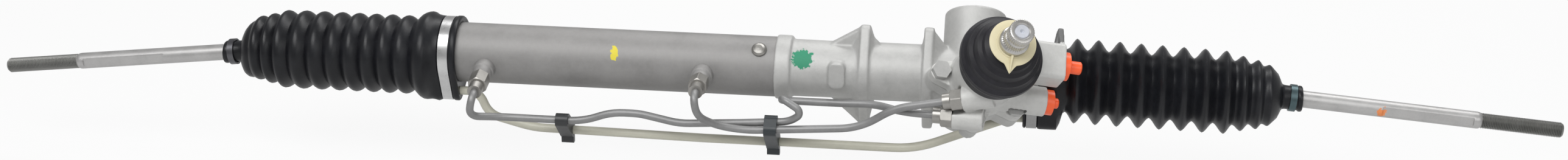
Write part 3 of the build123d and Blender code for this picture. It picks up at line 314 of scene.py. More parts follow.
def turned_steel(name, colour, roughness, metallic=1.0):
    """Steel with turning marks round X."""
    finish = Finish(name, colour, roughness, metallic)
    finish.mottle(scale=90.0, spread=0.4, light=1.3, dark=0.6)
    finish.bump(finish.group(LINES, Along_X=2600.0, Along_Y=120.0, Along_Z=120.0), depth=0.00002)
    return finish


def moulded_rubber(name, colour, roughness):
    """Dull rubber with a fine lumpy skin."""
    finish = Finish(name, colour, roughness, metallic=0.0, Specular_IOR_Level=0.3)
    finish.mottle(scale=30.0, spread=0.6, light=2.1, dark=0.45, contrast=3.0)
    finish.bump(finish.group(GRAIN, Scale=1300.0, Lumps=1.0), depth=0.00006)
    return finish


def moulded_plastic(name, colour, roughness):
    """Smooth plastic, faintly clouded."""
    finish = Finish(name, colour, roughness, metallic=0.0)
    finish.mottle(scale=60.0, spread=0.3, light=1.15, dark=0.75)
    finish.bump(finish.group(GRAIN, Scale=2200.0, Lumps=0.5), depth=0.00002)
    return finish


finishes = {
    "cast_aluminium": cast_aluminium("blasted casting", (0.47, 0.47, 0.46), 1500.0),
    "cast_aluminium_pale": cast_aluminium("pale casting", (0.56, 0.56, 0.545), 1700.0),
    "tube_steel": drawn_steel("drawn tube", (0.27, 0.265, 0.26), 0.58, 0.4),
    "pipe_steel": drawn_steel("pipe steel", (0.26, 0.26, 0.26), 0.52, 0.6),
    "nut_steel": turned_steel("nut steel", (0.36, 0.35, 0.33), 0.42),
    "ground_steel": turned_steel("ground steel", (0.60, 0.60, 0.60), 0.22),
    "forged_steel": turned_steel("forged steel", (0.40, 0.40, 0.40), 0.42),
    "tie_rod_steel": turned_steel("tie rod steel", (0.47, 0.465, 0.46), 0.46, 0.8),
    "shaft_steel": turned_steel("shaft steel", (0.52, 0.51, 0.49), 0.33),
    "spring_steel": turned_steel("spring steel", (0.13, 0.13, 0.14), 0.40),
    "spring_steel_teal": turned_steel("teal spring steel", (0.09, 0.13, 0.14), 0.40),
    "band_steel": turned_steel("band steel", (0.60, 0.60, 0.60), 0.30),
    "boot_rubber": moulded_rubber("boot rubber", (0.0072, 0.0077, 0.0098), 0.36),
    "cover_rubber": moulded_rubber("cover rubber", (0.0125, 0.012, 0.0155), 0.44),
    "seal_rubber": moulded_rubber("seal rubber", (0.03, 0.03, 0.03), 0.45),
    "seal_ptfe": moulded_plastic("seal ring", (0.22, 0.19, 0.16), 0.4),
    "bearing_nylon": moulded_plastic("bearing plastic", (0.72, 0.68, 0.55), 0.45),
    "cream_plastic": moulded_plastic("cream plastic", (0.64, 0.58, 0.385), 0.48),
    "orange_plastic": moulded_plastic("orange plastic", (0.90, 0.12, 0.03), 0.34),
    "breather_plastic": moulded_plastic("breather plastic", (0.53, 0.52, 0.435), 0.40),
    "clip_plastic": moulded_plastic("clip plastic", (0.025, 0.026, 0.028), 0.42),
    "clip_plastic_teal": moulded_plastic("dark clip plastic", (0.022, 0.028, 0.032), 0.42),
}
rolled_thread = turned_steel("rolled thread", (0.27, 0.27, 0.26), 0.45)
dull_band = turned_steel("dull band", (0.34, 0.34, 0.34), 0.42)
bar_end = turned_steel("bar end", (0.56, 0.58, 0.63), 0.50, 0.5)
plated_bolt = turned_steel("plated bolt", (0.47, 0.47, 0.46), 0.56, 0.5)


def dab(finish, place, reach, ragged):
    """1 inside a dab round a place, which reaches so far along X and across it, and 0 outside."""
    x, y, z = place
    width, height = reach
    return finish.group(SPOT, X=x, Y=y, Z=z, Width=width, Height=height, Ragged=ragged)


green = finishes["cast_aluminium"]
green_dab = dab(green, (-0.0736, -0.0165, 0.0151), (0.0090, 0.0085), 0.2)
green.paint(green_dab, (0.02, 0.24, 0.13))
yellow = finishes["tube_steel"]
yellow_dab = dab(yellow, (-0.2232, -0.0198, 0.0136), (0.0030, 0.0062), 0.3)
yellow.paint(yellow_dab, (0.68, 0.58, 0.04))
orange = finishes["tie_rod_steel"]
orange_dab = dab(orange, (0.3763, -0.0066, -0.0134), (0.0035, 0.0050), 0.4)
orange.paint(orange_dab, (0.75, 0.25, 0.08))
# Painted shade: the upright ear on the pale valve housing is tinted dark grey where it stands in shade.
finish_with_ear_shade = finishes["cast_aluminium_pale"]
ear_shade_dab = dab(finish_with_ear_shade, (0.1266, -0.0245, 0.0462), (0.0080, 0.0098), 0.1)
finish_with_ear_shade.tint(ear_shade_dab, (0.15, 0.15, 0.15))
slots = {part["node"]: part["material_slot"] for part in frame["record"]["subparts"]}


def dress_with(piece, finish):
    """Gives a piece one finish all over."""
    piece.data.materials.clear()
    piece.data.materials.append(finish.material)


def dress(piece, slot):
    """Gives a piece the finish of a material slot."""
    dress_with(piece, finishes[slot])


for name, node in nodes.items():
    dress(node, slots[name])
dress_with(nodes["right_boot_band"], dull_band)
dress_with(nodes["torsion_bar"], bar_end)
dress_with(nodes["housing_bolts"], plated_bolt)


# ---------------------------------------------------------------- modelling by hand
def start_ring(name, sides, radius, place):
    """A ring across X at the given place, left selected in edit mode."""
    bpy.ops.object.select_all(action="DESELECT")
    bpy.ops.mesh.primitive_circle_add(vertices=sides, radius=radius,
                                      rotation=(0, math.pi / 2, 0), location=place)
    bpy.ops.object.transform_apply(location=True, rotation=True, scale=True)
    ring = bpy.context.object
    ring.name = name
    ring.data.name = name
    bpy.ops.object.mode_set(mode="EDIT")
    bpy.ops.mesh.select_all(action="SELECT")
    return ring


def pull_rings(rings):
    """Extrudes the selected ring through each (place, radius), from the first on."""
    (place, radius), rest = rings[0], rings[1:]
    for next_place, next_radius in rest:
        step = Vector(next_place) - Vector(place)
        bpy.ops.mesh.extrude_region_move(TRANSFORM_OT_translate={"value": step})
        ratio = next_radius / radius
        bpy.ops.transform.resize(value=(ratio, ratio, ratio), center_override=next_place)
        place, radius = next_place, next_radius


def finish_shell(piece, wall):
    """Turns the faces outwards, and gives an open shell its wall, inwards."""
    bpy.ops.mesh.select_all(action="SELECT")
    bpy.ops.mesh.normals_make_consistent(inside=False)
    bpy.ops.object.mode_set(mode="OBJECT")
    if wall:
        solid = piece.modifiers.new("wall", "SOLIDIFY")
        solid.thickness = wall
        solid.offset = -1.0
        solid.use_even_offset = True
        bpy.ops.object.modifier_apply(modifier=solid.name)
    bpy.ops.object.shade_smooth_by_angle(angle=SHARP_ANGLE)


def trim_at_x(x, direction, drop_before):
    """Cuts the mesh being edited square at x, drops what lies before or after the cut, and caps it."""
    bpy.ops.mesh.select_all(action="SELECT")
    bpy.ops.mesh.bisect(plane_co=(x, 0, 0), plane_no=(direction, 0, 0), use_fill=True,
                        clear_inner=drop_before, clear_outer=not drop_before,
                        threshold=MERGE_DISTANCE)


def split_across_x(piece, cuts, names):
    """Cuts a piece at each x into closed pieces, named in order from its first end."""
    pieces = []
    direction = 1.0 if cuts[0] < cuts[-1] else -1.0
    limits = [None, *cuts, None]
    for name, low, high in zip(names, limits, limits[1:]):
        part = piece.copy()
        part.data = piece.data.copy()
        part.name = name
        part.data.name = name
        bpy.context.scene.collection.objects.link(part)
        bpy.ops.object.select_all(action="DESELECT")
        part.select_set(True)
        bpy.context.view_layer.objects.active = part
        bpy.ops.object.mode_set(mode="EDIT")
        if low is not None:
            trim_at_x(low, direction, True)
        if high is not None:
            trim_at_x(high, direction, False)
        bpy.ops.object.mode_set(mode="OBJECT")
        bpy.ops.object.shade_smooth_by_angle(angle=SHARP_ANGLE)
        pieces.append(part)
    bpy.data.objects.remove(piece)
    return pieces


def place_along(piece, origin, way, across):
    """Puts a piece modelled along X at its place: X goes along way and Y across."""
    up = Vector(way).cross(Vector(across))
    turn = Matrix((way, across, up)).transposed().to_4x4()
    piece.matrix_world = Matrix.Translation(origin) @ turn
    bpy.ops.object.select_all(action="DESELECT")
    piece.select_set(True)
    bpy.context.view_layer.objects.active = piece
    bpy.ops.object.transform_apply(location=True, rotation=True, scale=True)


def lathe(name, sides, profile):
    """A turned skin about X through (x, radius) corners in mm, left in edit mode."""
    first_x, first_radius = profile[0]
    piece = start_ring(name, sides, first_radius * MM, (first_x * MM, 0, 0))
    pull_rings([((x * MM, 0, 0), radius * MM) for x, radius in profile])
    return piece


def lathe_closed(name, sides, profile):
    """A turned piece whose profile runs back to its start, merged there, left in object mode."""
    piece = lathe(name, sides, profile)
    bpy.ops.mesh.select_all(action="SELECT")
    bpy.ops.mesh.remove_doubles(threshold=FINE_MERGE_DISTANCE)
    bpy.ops.object.mode_set(mode="OBJECT")
    return piece


def radius_of(vertex):
    """A vertex's distance from the X axis."""
    return math.hypot(vertex.co.y, vertex.co.z)


def scale_radius(vertex, factor):
    """Moves a vertex out from the X axis or in towards it."""
    vertex.co.y *= factor
    vertex.co.z *= factor


# ---------------------------------------------------------------- tie rods
# Lengths in mm, from the ball's centre along the rod.
BALL_RADIUS = 11.0
SHANK_RADIUS = 6.6
FLATS_START = 142.2
FLATS_END = 211.8
FLATS_HALF_WIDTH = 5.4
THREAD_START = 218.0
THREAD_ROOT = 5.24
THREAD_CREST = 6.0
THREAD_PITCH = 1.25
THREAD_STEPS = 32
THREAD_TIP_RADIUS = 4.7
TIP_CHAMFER_SLOPE = 0.9
ROD_LENGTH = 280.0
FULL_DROOP = math.radians(20.0)


def make_shank(name):
    """Ball, neck, shank and wrench flats of a tie rod, along X from the ball's centre."""
    ball_turns = [math.radians(turn) for turn in range(6, 150, 6)]
    ball = [(-BALL_RADIUS * math.cos(turn), BALL_RADIUS * math.sin(turn)) for turn in ball_turns]
    neck = [(9.9, 5.5), (13.5, 5.5), (18.0, 6.0)]
    straight = [(x, SHANK_RADIUS) for x in (23.5, 140.5, 142.0, 142.4, 211.6, 212.0, 213.5, 215.0)]
    thread_end = [(216.4, 6.4), (217.4, 5.9), (218.6, 5.3)]
    profile = ball + neck + straight + thread_end
    shank = lathe(name, 72, profile)
    for limit, _radius in (profile[0], profile[-1]):
        bpy.ops.mesh.select_all(action="DESELECT")
        bpy.ops.object.mode_set(mode="OBJECT")
        for vertex in shank.data.vertices:
            vertex.select = abs(vertex.co.x - limit * MM) < MERGE_DISTANCE
        bpy.ops.object.mode_set(mode="EDIT")
        bpy.ops.mesh.edge_face_add()
    bpy.ops.object.mode_set(mode="OBJECT")
    flat = FLATS_HALF_WIDTH * MM
    for vertex in shank.data.vertices:
        if FLATS_START * MM < vertex.co.x < FLATS_END * MM:
            vertex.co.y = max(-flat, min(flat, vertex.co.y))
    bpy.ops.object.mode_set(mode="EDIT")
    finish_shell(shank, 0)
    return shank


def make_thread(name):
    """Rolled thread about X: one ridge turned along it, cut square, and chamfered at the tip."""
    bpy.ops.object.select_all(action="DESELECT")
    bpy.ops.mesh.primitive_plane_add(size=THREAD_PITCH * MM)
    thread = bpy.context.object
    thread.name = name
    thread.data.name = name
    bpy.ops.object.mode_set(mode="EDIT")
    bpy.ops.mesh.select_all(action="DESELECT")
    bpy.ops.object.mode_set(mode="OBJECT")
    thread.data.vertices[0].select = True
    bpy.ops.object.mode_set(mode="EDIT")
    bpy.ops.mesh.delete(type="VERT")
    bpy.ops.object.mode_set(mode="OBJECT")
    start = (THREAD_START - 2.0) * MM
    middle, end = thread.data.vertices[2], thread.data.vertices[1]
    thread.data.vertices[0].co = (start, THREAD_ROOT * MM, 0)
    middle.co = (start + THREAD_PITCH * MM / 2, THREAD_CREST * MM, 0)
    end.co = (start + THREAD_PITCH * MM, THREAD_ROOT * MM, 0)
    screw = thread.modifiers.new("turns", "SCREW")
    screw.axis = "X"
    screw.screw_offset = THREAD_PITCH * MM
    screw.iterations = int((ROD_LENGTH - THREAD_START + 6) / THREAD_PITCH)
    screw.steps = THREAD_STEPS
    screw.render_steps = THREAD_STEPS
    screw.use_merge_vertices = True
    screw.merge_threshold = MERGE_DISTANCE
    bpy.ops.object.modifier_apply(modifier=screw.name)
    bpy.ops.object.mode_set(mode="EDIT")
    bpy.ops.mesh.select_all(action="SELECT")
    bpy.ops.mesh.remove_doubles(threshold=MERGE_DISTANCE)
    trim_at_x(THREAD_START * MM, 1, True)
    trim_at_x(ROD_LENGTH * MM, 1, False)
    bpy.ops.object.mode_set(mode="OBJECT")
    for vertex in thread.data.vertices:
        limit = THREAD_TIP_RADIUS * MM + (ROD_LENGTH * MM - vertex.co.x) * TIP_CHAMFER_SLOPE
        radius = radius_of(vertex)
        if radius > limit:
            scale_radius(vertex, limit / radius)
    bpy.ops.object.mode_set(mode="EDIT")
    finish_shell(thread, 0)
    return thread


def make_tie_rod(side, ball_x, way):
    """A rod's shank and its thread, from the ball's centre along way."""
    shank = make_shank(side + "_tie_rod_shank")
    thread = make_thread(side + "_tie_rod_thread")
    for piece in (shank, thread):
        place_along(piece, (ball_x, 0, 0), way, (0, 1, 0))
        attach(piece, side + "_rod")
        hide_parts(side + "_tie_rod")
    dress(shank, "tie_rod_steel")
    dress_with(thread, rolled_thread)


# ---------------------------------------------------------------- splined shaft
LEAN = math.radians(15.0)
RISE = math.radians(43.0)
RACK_WAY = Vector((1, 0, 0))
RISE_WAY = Vector((0, -math.cos(RISE), math.sin(RISE)))
SHAFT_WAY = RACK_WAY * math.sin(LEAN) + RISE_WAY * math.cos(LEAN)
SIDE_WAY = RACK_WAY * math.cos(LEAN) - RISE_WAY * math.sin(LEAN)
PINION_CENTRE = Vector((0.060, -0.0097526, -0.0104584))
# Lengths in mm, from the pinion's centre along the shaft.
SPLINES = 36
SPLINE_CREST = 9.5
SPLINE_ROOT = 8.95
SPLINE_ROWS = ((127.3, 133.8), (138.2, 145.6))
SPLINE_TURN = 0.01


def make_input_shaft():
    """Valve rotor, bearing seat, collar and splined end, hollow for the torsion bar."""
    rotor = [(34.4, 4.0), (34.4, 10.95), (82.0, 10.95), (84.0, 10.3), (121.0, 10.3)]
    collar = [(121.5, 11.0), (122.0, 11.2), (125.6, 11.2), (126.2, 10.8)]
    lower_row = [(127.0, 9.5), (127.6, 9.5), (133.6, 9.5), (134.0, 9.3)]
    groove = [(134.8, 8.0), (135.4, 7.8), (136.6, 7.8), (137.2, 8.0)]
    upper_row = [(138.0, 9.3), (138.4, 9.5), (145.2, 9.5), (145.8, 9.0), (146.0, 8.4)]
    hollow = [(146.0, 6.3), (145.2, 5.45), (118.0, 5.45), (118.0, 4.0), (34.4, 4.0)]
    profile = rotor + collar + lower_row + groove + upper_row + hollow
    shaft = lathe_closed("input_shaft_splined", 144, profile)
    for vertex in shaft.data.vertices:
        splined = any(low < vertex.co.x / MM < high for low, high in SPLINE_ROWS)
        phase = math.atan2(vertex.co.z, vertex.co.y) / (2 * math.pi) * SPLINES + SPLINE_TURN
        if splined and radius_of(vertex) > 9.2 * MM and phase % 1 > 0.5:
            scale_radius(vertex, SPLINE_ROOT / SPLINE_CREST)
    bpy.ops.object.mode_set(mode="EDIT")
    finish_shell(shaft, 0)
    place_along(shaft, PINION_CENTRE, SHAFT_WAY, SIDE_WAY)
    dress(shaft, "shaft_steel")
    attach(shaft, "input_body")
    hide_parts("input_shaft")


# ---------------------------------------------------------------- shaft protector
TAB_TURN = math.radians(-3.6)
TAB_SIDE = SIDE_WAY * math.cos(TAB_TURN) + SHAFT_WAY.cross(SIDE_WAY) * math.sin(TAB_TURN)
# Lengths in mm, from the pinion's centre along the shaft or out from it, and the angle in degrees.
TAB_HALF_ANGLE = 17.0
TAB_REACH = 6.7
TAB_SHARPNESS = 1.6
DISC_RIM = 17.0
FOLD_BASE = 120.2
FOLD_RISE = 4.4
FOLD_FALL = 3.6
FOLD_WIDTH = 2.4
FOLD_START = 10.9
FOLD_LENGTH = 12.6


def make_protector_disc():
    """Thin disc with a raised rim round the shaft, drawn out to a point on one side."""
    under = [(119.2, 10.36), (119.2, 17.4), (119.4, 17.8)]
    over = [(120.2, 17.8), (120.5, 17.4), (120.4, 13.2)]
    raised_rim = [(120.5, 12.7), (121.1, 12.4), (121.1, 10.7), (120.8, 10.36), (119.2, 10.36)]
    disc = lathe_closed("shaft_protector_disc", 180, under + over + raised_rim)
    for vertex in disc.data.vertices:
        radius = radius_of(vertex)
        turn = abs(math.degrees(math.atan2(vertex.co.y, -vertex.co.z)))
        if radius > DISC_RIM * MM and turn < TAB_HALF_ANGLE:
            drawn_out = TAB_REACH * MM * (1 - turn / TAB_HALF_ANGLE) ** TAB_SHARPNESS
            scale_radius(vertex, 1 + drawn_out / radius)
    bpy.ops.object.mode_set(mode="EDIT")
    finish_shell(disc, 0)
    return disc


def make_protector_fold():
    """Ridge folded up along the tab, high at the shaft and running out at the point."""
    bpy.ops.object.select_all(action="DESELECT")
    middle = (FOLD_BASE + FOLD_RISE / 2, 0, -FOLD_START - FOLD_LENGTH / 2)
    size = (FOLD_RISE, FOLD_WIDTH, FOLD_LENGTH)
    bpy.ops.mesh.primitive_cube_add(size=1, location=[place * MM for place in middle],
                                    scale=[reach * MM for reach in size])
    fold = bpy.context.object
    fold.name = "shaft_protector_fold"
    fold.data.name = "shaft_protector_fold"
    bpy.ops.object.transform_apply(location=True, rotation=True, scale=True)
    bpy.ops.object.mode_set(mode="EDIT")
    bpy.ops.mesh.select_all(action="SELECT")
    bpy.ops.mesh.subdivide(number_cuts=3)
    bpy.ops.object.mode_set(mode="OBJECT")
    for vertex in fold.data.vertices:
        along = (-vertex.co.z / MM - FOLD_START) / FOLD_LENGTH
        raised = (vertex.co.x / MM - FOLD_BASE) / FOLD_RISE
        height = FOLD_RISE - FOLD_FALL * max(0.0, along) ** 0.8
        vertex.co.x = (FOLD_BASE + raised * height) * MM
        vertex.co.y *= (1 - 0.55 * along) * (1 - 0.35 * raised)
    rounded = fold.modifiers.new("rounded", "BEVEL")
    rounded.width = 0.3 * MM
    rounded.segments = 2
    bpy.ops.object.modifier_apply(modifier=rounded.name)
    bpy.ops.object.mode_set(mode="EDIT")
    finish_shell(fold, 0)
    return fold


for protector in (make_protector_disc(), make_protector_fold()):
    place_along(protector, PINION_CENTRE, SHAFT_WAY, TAB_SIDE)
    dress(protector, "cream_plastic")
    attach(protector, "input_body")
    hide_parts("shaft_protector")


# ---------------------------------------------------------------- castings
def soften_casting(name, voxel, passes, most):
    """A copy of a cast node whose corners run together as they do out of the mould.

    It is meshed evenly at the voxel size, smoothed in passes, and thinned to at most so many triangles.
    """
    bpy.ops.object.select_all(action="DESELECT")
    cast = nodes[name].copy()
    cast.data = nodes[name].data.copy()
    cast.name = name + "_casting"
    cast.data.name = name + "_casting"
    bpy.context.scene.collection.objects.link(cast)
    cast.select_set(True)
    bpy.context.view_layer.objects.active = cast
    bpy.ops.object.mode_set(mode="EDIT")
    bpy.ops.mesh.select_all(action="SELECT")
    bpy.ops.mesh.remove_doubles(threshold=MERGE_DISTANCE)
    bpy.ops.object.mode_set(mode="OBJECT")
    even = cast.modifiers.new("even mesh", "REMESH")
    even.mode = "VOXEL"
    even.voxel_size = voxel
    bpy.ops.object.modifier_apply(modifier=even.name)
    soft = cast.modifiers.new("soft corners", "SMOOTH")
    soft.factor = 0.5
    soft.iterations = passes
    bpy.ops.object.modifier_apply(modifier=soft.name)
    triangles = sum(len(face.vertices) - 2 for face in cast.data.polygons)
    fewer = cast.modifiers.new("fewer faces", "DECIMATE")
    fewer.ratio = min(1.0, most / triangles)
    bpy.ops.object.modifier_apply(modifier=fewer.name)
    bpy.ops.object.shade_smooth_by_angle(angle=CASTING_SHARP_ANGLE)
    dress(cast, slots[name])
    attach(cast, "housing")
    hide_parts(name)


soften_casting("gear_housing", voxel=0.9 * MM, passes=7, most=180000)
soften_casting("valve_housing", voxel=0.7 * MM, passes=6, most=150000)
make_input_shaft()


# ---------------------------------------------------------------- boots
BALL_LEFT = -463 * MM
BALL_RIGHT = 235 * MM
DROOP_LEFT = math.radians(6.5)
DROOP_RIGHT = math.radians(4.6)
LEFT_ROD_WAY = Vector((-math.cos(DROOP_LEFT), 0, -math.sin(DROOP_LEFT)))
RIGHT_ROD_WAY = Vector((math.cos(DROOP_RIGHT), 0, -math.sin(DROOP_RIGHT)))
LEFT_BOUNDS = (-371 * MM, -490.55 * MM, -514.5 * MM, -533 * MM)
RIGHT_BOUNDS = (128 * MM, 249.3 * MM, 275.15 * MM, 298 * MM)
LOBE_ANGLE = math.radians(23.5)
LOBE_REACH = 31.3 * MM
LOBE_RADIUS = 6.9 * MM
LOBE_WAY = Vector((0, -math.sin(LOBE_ANGLE), -math.cos(LOBE_ANGLE)))
LOBE_SEAT_SHARE = 0.885
BOOT_SIDES = 96
BOOT_WALL = 1.6 * MM


def ease(share):
    """0 to 1 with a soft start and a soft end; the share is held within 0 and 1."""
    share = max(0.0, min(1.0, share))
    return share * share * (3 - 2 * share)


def between(value, low, high):
    """The value held within two limits."""
    return min(max(value, low), high)


def egg_radius(angle, round_radius, lobe_radius):
    """Radius at an angle from the lobe of a round with the lobe's small round drawn tight to it."""
    touch = math.acos((round_radius - lobe_radius) / LOBE_REACH)
    lobe_centre = LOBE_REACH + lobe_radius * math.cos(touch)
    lobe_touch = math.atan2(lobe_radius * math.sin(touch), lobe_centre)
    angle = abs(angle)
    if angle >= touch:
        return round_radius
    if angle >= lobe_touch:
        return round_radius / math.cos(touch - angle)
    half_chord = LOBE_REACH * math.sin(angle)
    return LOBE_REACH * math.cos(angle) + math.sqrt(lobe_radius ** 2 - half_chord ** 2)


def push_out_lobe(piece, full_x, round_x, cuff_radius):
    """Pushes the cuff's rings out to the egg outline, fading to round towards round_x.

    What lies well inside the cuff closes on the tube and stays round.
    """
    across = Vector((1, 0, 0)).cross(LOBE_WAY)
    for vertex in piece.data.vertices:
        share = ease((vertex.co.x - round_x) / (full_x - round_x))
        if share == 0.0 or radius_of(vertex) < LOBE_SEAT_SHARE * cuff_radius:
            continue
        flat = Vector((0, vertex.co.y, vertex.co.z))
        angle = math.atan2(flat.dot(across), flat.dot(LOBE_WAY))
        radius = flat.length
        lobe_radius = between(LOBE_RADIUS + radius - cuff_radius, 3 * MM, 9 * MM)
        round_radius = between(radius, 12 * MM, 34 * MM)
        grown = max(radius, egg_radius(angle, round_radius, lobe_radius))
        flat *= 1 + (grown / radius - 1) * share
        vertex.co.y, vertex.co.z = flat.y, flat.z


def fold_outline(steps, sharp):
    """(way along, height) points of one fold from 0 to 1; sharp 1 is a V and 0 a round hump."""
    points = []
    for index in range(1, steps + 1):
        way = index / steps
        slope = 1 - abs(2 * way - 1)
        hump = math.sin(math.pi * way) ** 1.05 if way < 1 else 0.0
        vee = 0.3 * slope + 0.7 * (0.5 - 0.5 * math.cos(math.pi * slope))
        points.append((way, sharp * vee + (1 - sharp) * hump))
    return points


def folds(crests, valleys, first_x, steps, sharp):
    """Folds through a list of (x, radius) crests; a valley lies midway between two of them."""
    points = []
    start = first_x
    for index, (x, radius) in enumerate(crests):
        last = index + 1 == len(crests)
        end = x + (x - start) if last else (x + crests[index + 1][0]) / 2
        low, high = valleys[index], valleys[index + 1]
        for way, height in fold_outline(steps, sharp):
            along = start + (x - start) * way * 2 if way <= 0.5 else x + (end - x) * (way * 2 - 1)
            valley = low + (high - low) * way
            points.append((along, valley + (radius - valley) * height))
        start = end
    return points


def level_rings(profile, centre_at):
    """Rings square to X through (x, radius) corners in mm, each round the (y, z) of centre_at(x)."""
    rings = []
    for x, radius in profile:
        y, z = centre_at(x)
        rings.append(((x * MM, y * MM, z * MM), radius * MM))
    return rings


def neck_rings(ball_x, way, profile):
    """Rings of a boot's neck, placed along its rod through (reach, radius) corners in mm."""
    ball = Vector((ball_x, 0, 0))
    return [(tuple(ball + way * reach * MM), radius * MM) for reach, radius in profile]


def make_boot(side, rings, lobe, cuts):
    """A boot's shell through its rings, cut into its folds, shoulder and neck."""
    boot = start_ring(side + "_boot_skin", BOOT_SIDES, rings[0][1], rings[0][0])
    pull_rings(rings)
    bpy.ops.object.mode_set(mode="OBJECT")
    full_x, round_x, cuff_radius = lobe
    push_out_lobe(boot, full_x * MM, round_x * MM, cuff_radius * MM)
    bpy.ops.object.mode_set(mode="EDIT")
    finish_shell(boot, BOOT_WALL)
    names = [side + "_boot_" + part for part in ("folds", "shoulder", "neck")]
    return split_across_x(boot, cuts, names)


def left_boot_centre(x):
    """The middle of the left boot's rings: dropped behind the cuff, then down on to the rod."""
    drop = LOBE_WAY * 4.3 * ease((x + 366) / -16)
    centre = drop.lerp(Vector((0, 0, -8.3)), ease((-x - 519.0) / 16.0))
    return centre.y, centre.z


def right_boot_centre(x):
    """The middle of the right boot's rings, falling evenly on to the rod."""
    share = max(0.0, (x - 128.0) / 171.5)
    return 0.0, -5.17 * share


def make_left_boot(cuts):
    """Cuff, shoulder ring, ten round folds and a long neck."""
    cuff = [(-353.4, 24.1), (-352.4, 24.3), (-352.0, 25.4), (-351.7, 26.6), (-351.7, 27.9),
            (-352.2, 28.7), (-353.0, 29.2), (-355.6, 29.2), (-356.5, 28.8), (-356.9, 27.85),
            (-366.1, 27.85), (-366.6, 28.7)]
    shoulder = [(-369.4, 29.4), (-373.0, 31.4), (-375.4, 33.9), (-377.4, 35.1), (-379.4, 35.4),
                (-381.6, 35.0), (-384.0, 33.7), (-386.4, 31.4), (-388.4, 29.2), (-390.0, 28.0)]
    crests = [(-397.2, 31.9), (-411.0, 32.0), (-424.4, 32.0), (-438.6, 32.0), (-452.9, 32.0),
              (-467.8, 32.0), (-483.0, 32.0), (-498.1, 31.7), (-509.6, 28.6), (-519.4, 26.2)]
    valleys = [28.0] + [27.4] * 7 + [25.2, 23.6, 23.0]
    body = folds(crests, valleys, first_x=-390.0, steps=8, sharp=0.0)
    end = [(-526.2, 23.2), (-528.8, 22.2), (-531.4, 20.0), (-533.2, 17.0), (-534.4, 13.6),
           (-534.9, 10.8)]
    neck = [(72.2, 9.0), (73.4, 8.7), (76.0, 8.6), (85.2, 8.6), (85.9, 9.1), (87.2, 9.3), (88.6, 9.1),
            (89.2, 8.6), (89.3, 7.2)]
    rings = level_rings(cuff + shoulder + body + end, left_boot_centre)
    rings += neck_rings(BALL_LEFT, LEFT_ROD_WAY, neck)
    return make_boot("left", rings, (-369, -388, 27.8), cuts)


def make_right_boot(cuts):
    """Cuff, eleven sharp folds running down to the rod and a short neck."""
    cuff = [(102.2, 21.65), (101.3, 21.7), (101.0, 22.2), (100.7, 23.4), (100.8, 24.6), (101.6, 25.4),
            (102.6, 25.6), (103.2, 24.65), (112.0, 24.65), (112.6, 25.6), (114.0, 26.0), (124.0, 26.0),
            (127.0, 25.9), (129.5, 25.3), (131.6, 24.9), (133.3, 24.8)]
    crests = [(140.6, 33.4), (157.2, 33.4), (173.8, 33.4), (190.4, 33.2), (206.9, 33.1), (223.5, 32.9),
              (240.0, 32.8), (256.4, 32.5), (269.3, 29.4), (281.0, 27.0), (289.6, 23.9)]
    valleys = [24.8] + [24.6] * 7 + [25.0, 23.6, 22.6, 20.6]
    body = folds(crests, valleys, first_x=133.3, steps=12, sharp=1.0)
    end = [(296.6, 17.4), (298.4, 13.6), (299.4, 11.2)]
    neck = [(65.6, 9.8), (67.0, 9.4), (69.0, 9.3), (77.0, 9.3), (77.8, 10.0), (79.0, 10.2), (80.4, 9.9),
            (81.0, 9.0), (81.1, 7.2)]
    rings = level_rings(cuff + body[:-4] + end, right_boot_centre)
    rings += neck_rings(BALL_RIGHT, RIGHT_ROD_WAY, neck)
    return make_boot("right", rings, (127.5, 132.5, 24.6), cuts)


def bend_boot(side, pieces):
    """Gives each third of a boot the boot rubber, bakes its place into its mesh and hides the imported
    boot.
    """
    for index, piece in enumerate(pieces):
        dress(piece, "boot_rubber")
        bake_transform(piece)
        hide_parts(side + "_boot")


make_tie_rod("left", BALL_LEFT, LEFT_ROD_WAY)
make_tie_rod("right", BALL_RIGHT, RIGHT_ROD_WAY)
bend_boot("left", make_left_boot(LEFT_BOUNDS[1:3]))
bend_boot("right", make_right_boot(RIGHT_BOUNDS[1:3]))


# ---------------------------------------------------------------- floor, light, camera
FLOOR_SIZE = 80.0
FLOOR_GREY = (0.62, 0.62, 0.62, 1.0)
WHITE = (1.0, 1.0, 1.0, 1.0)
FLOOR_SEEN = 0.88
FLOOR_MIRRORED = 0.35
WORLD_SEEN = 0.95
WORLD_LIGHT = 0.38
CAMERA_PLACE = (0.10147, -1.59390, 0.68661)
CAMERA_TILT = math.radians(66.5)
CAMERA_TURN = math.radians(6.85)
LENS = 50.31
SENSOR_WIDTH = 36.0


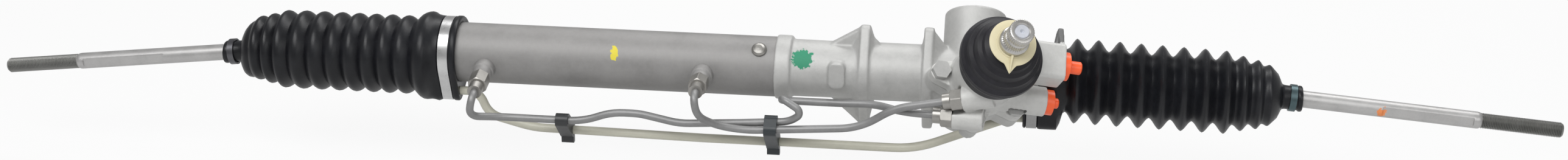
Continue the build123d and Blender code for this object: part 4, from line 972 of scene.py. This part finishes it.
def make_floor(height):
    """A pale floor that keeps the shadow; the eye and the metal see it brighter than it lights."""
    bpy.ops.mesh.primitive_plane_add(size=FLOOR_SIZE, location=(0, 0, height))
    floor = bpy.context.object
    floor.name = "floor"
    material = bpy.data.materials.new("pale floor")
    material.use_nodes = True
    tree = material.node_tree
    shader = tree.nodes["Principled BSDF"]
    shader.inputs["Base Color"].default_value = FLOOR_GREY
    shader.inputs["Roughness"].default_value = 0.9
    shader.inputs["Specular IOR Level"].default_value = 0.0
    glow = tree.nodes.new("ShaderNodeEmission")
    glow.inputs["Color"].default_value = WHITE
    rays = tree.nodes.new("ShaderNodeLightPath")
    mirrored = add_math(tree, "MULTIPLY", rays.outputs["Is Glossy Ray"], FLOOR_MIRRORED)
    seen = add_math(tree, "MULTIPLY", rays.outputs["Is Camera Ray"], FLOOR_SEEN)
    share = add_math(tree, "MAXIMUM", seen, mirrored)
    mix = tree.nodes.new("ShaderNodeMixShader")
    tree.links.new(share, mix.inputs["Fac"])
    tree.links.new(shader.outputs["BSDF"], mix.inputs[1])
    tree.links.new(glow.outputs["Emission"], mix.inputs[2])
    tree.links.new(mix.outputs["Shader"], tree.nodes["Material Output"].inputs["Surface"])
    floor.data.materials.append(material)


def make_light(name, place, size, power):
    """A soft lamp aimed at the origin."""
    bpy.ops.object.light_add(type="AREA", location=place)
    lamp = bpy.context.object
    lamp.name = name
    lamp.data.shape = "RECTANGLE"
    lamp.data.size, lamp.data.size_y = size
    lamp.data.energy = power
    lamp.rotation_euler = (-Vector(place)).to_track_quat("-Z", "Y").to_euler()


def make_world():
    """An even light from all round, which the eye sees as white."""
    world = bpy.data.worlds.new("studio")
    bpy.context.scene.world = world
    world.use_nodes = True
    tree = world.node_tree
    background = tree.nodes["Background"]
    background.inputs["Color"].default_value = WHITE
    rays = tree.nodes.new("ShaderNodeLightPath")
    seen = add_math(tree, "MULTIPLY", rays.outputs["Is Camera Ray"], WORLD_SEEN)
    tree.links.new(add_math(tree, "MAXIMUM", seen, WORLD_LIGHT), background.inputs["Strength"])


def make_camera():
    """In front, a little to the right, and looking down."""
    bpy.ops.object.camera_add(location=CAMERA_PLACE)
    camera = bpy.context.object
    camera.rotation_euler = (CAMERA_TILT, 0, CAMERA_TURN)
    camera.data.lens = LENS
    camera.data.sensor_width = SENSOR_WIDTH
    camera.data.clip_end = 20.0
    bpy.context.scene.camera = camera


lowest_rod_tip = -(ROD_LENGTH * math.sin(FULL_DROOP) + THREAD_CREST) * MM
make_floor(min(cad_box[0][2], lowest_rod_tip) - 1 * MM)
make_light("key light", place=(-0.5, -1.1, 1.5), size=(1.8, 0.7), power=27.0)
make_light("fill light", place=(1.2, -1.4, 0.9), size=(1.2, 0.8), power=6.0)
make_light("back light", place=(0.2, 0.9, 1.5), size=(2.0, 0.6), power=19.0)
make_world()
make_camera()
bpy.context.scene.view_settings.view_transform = "Standard"
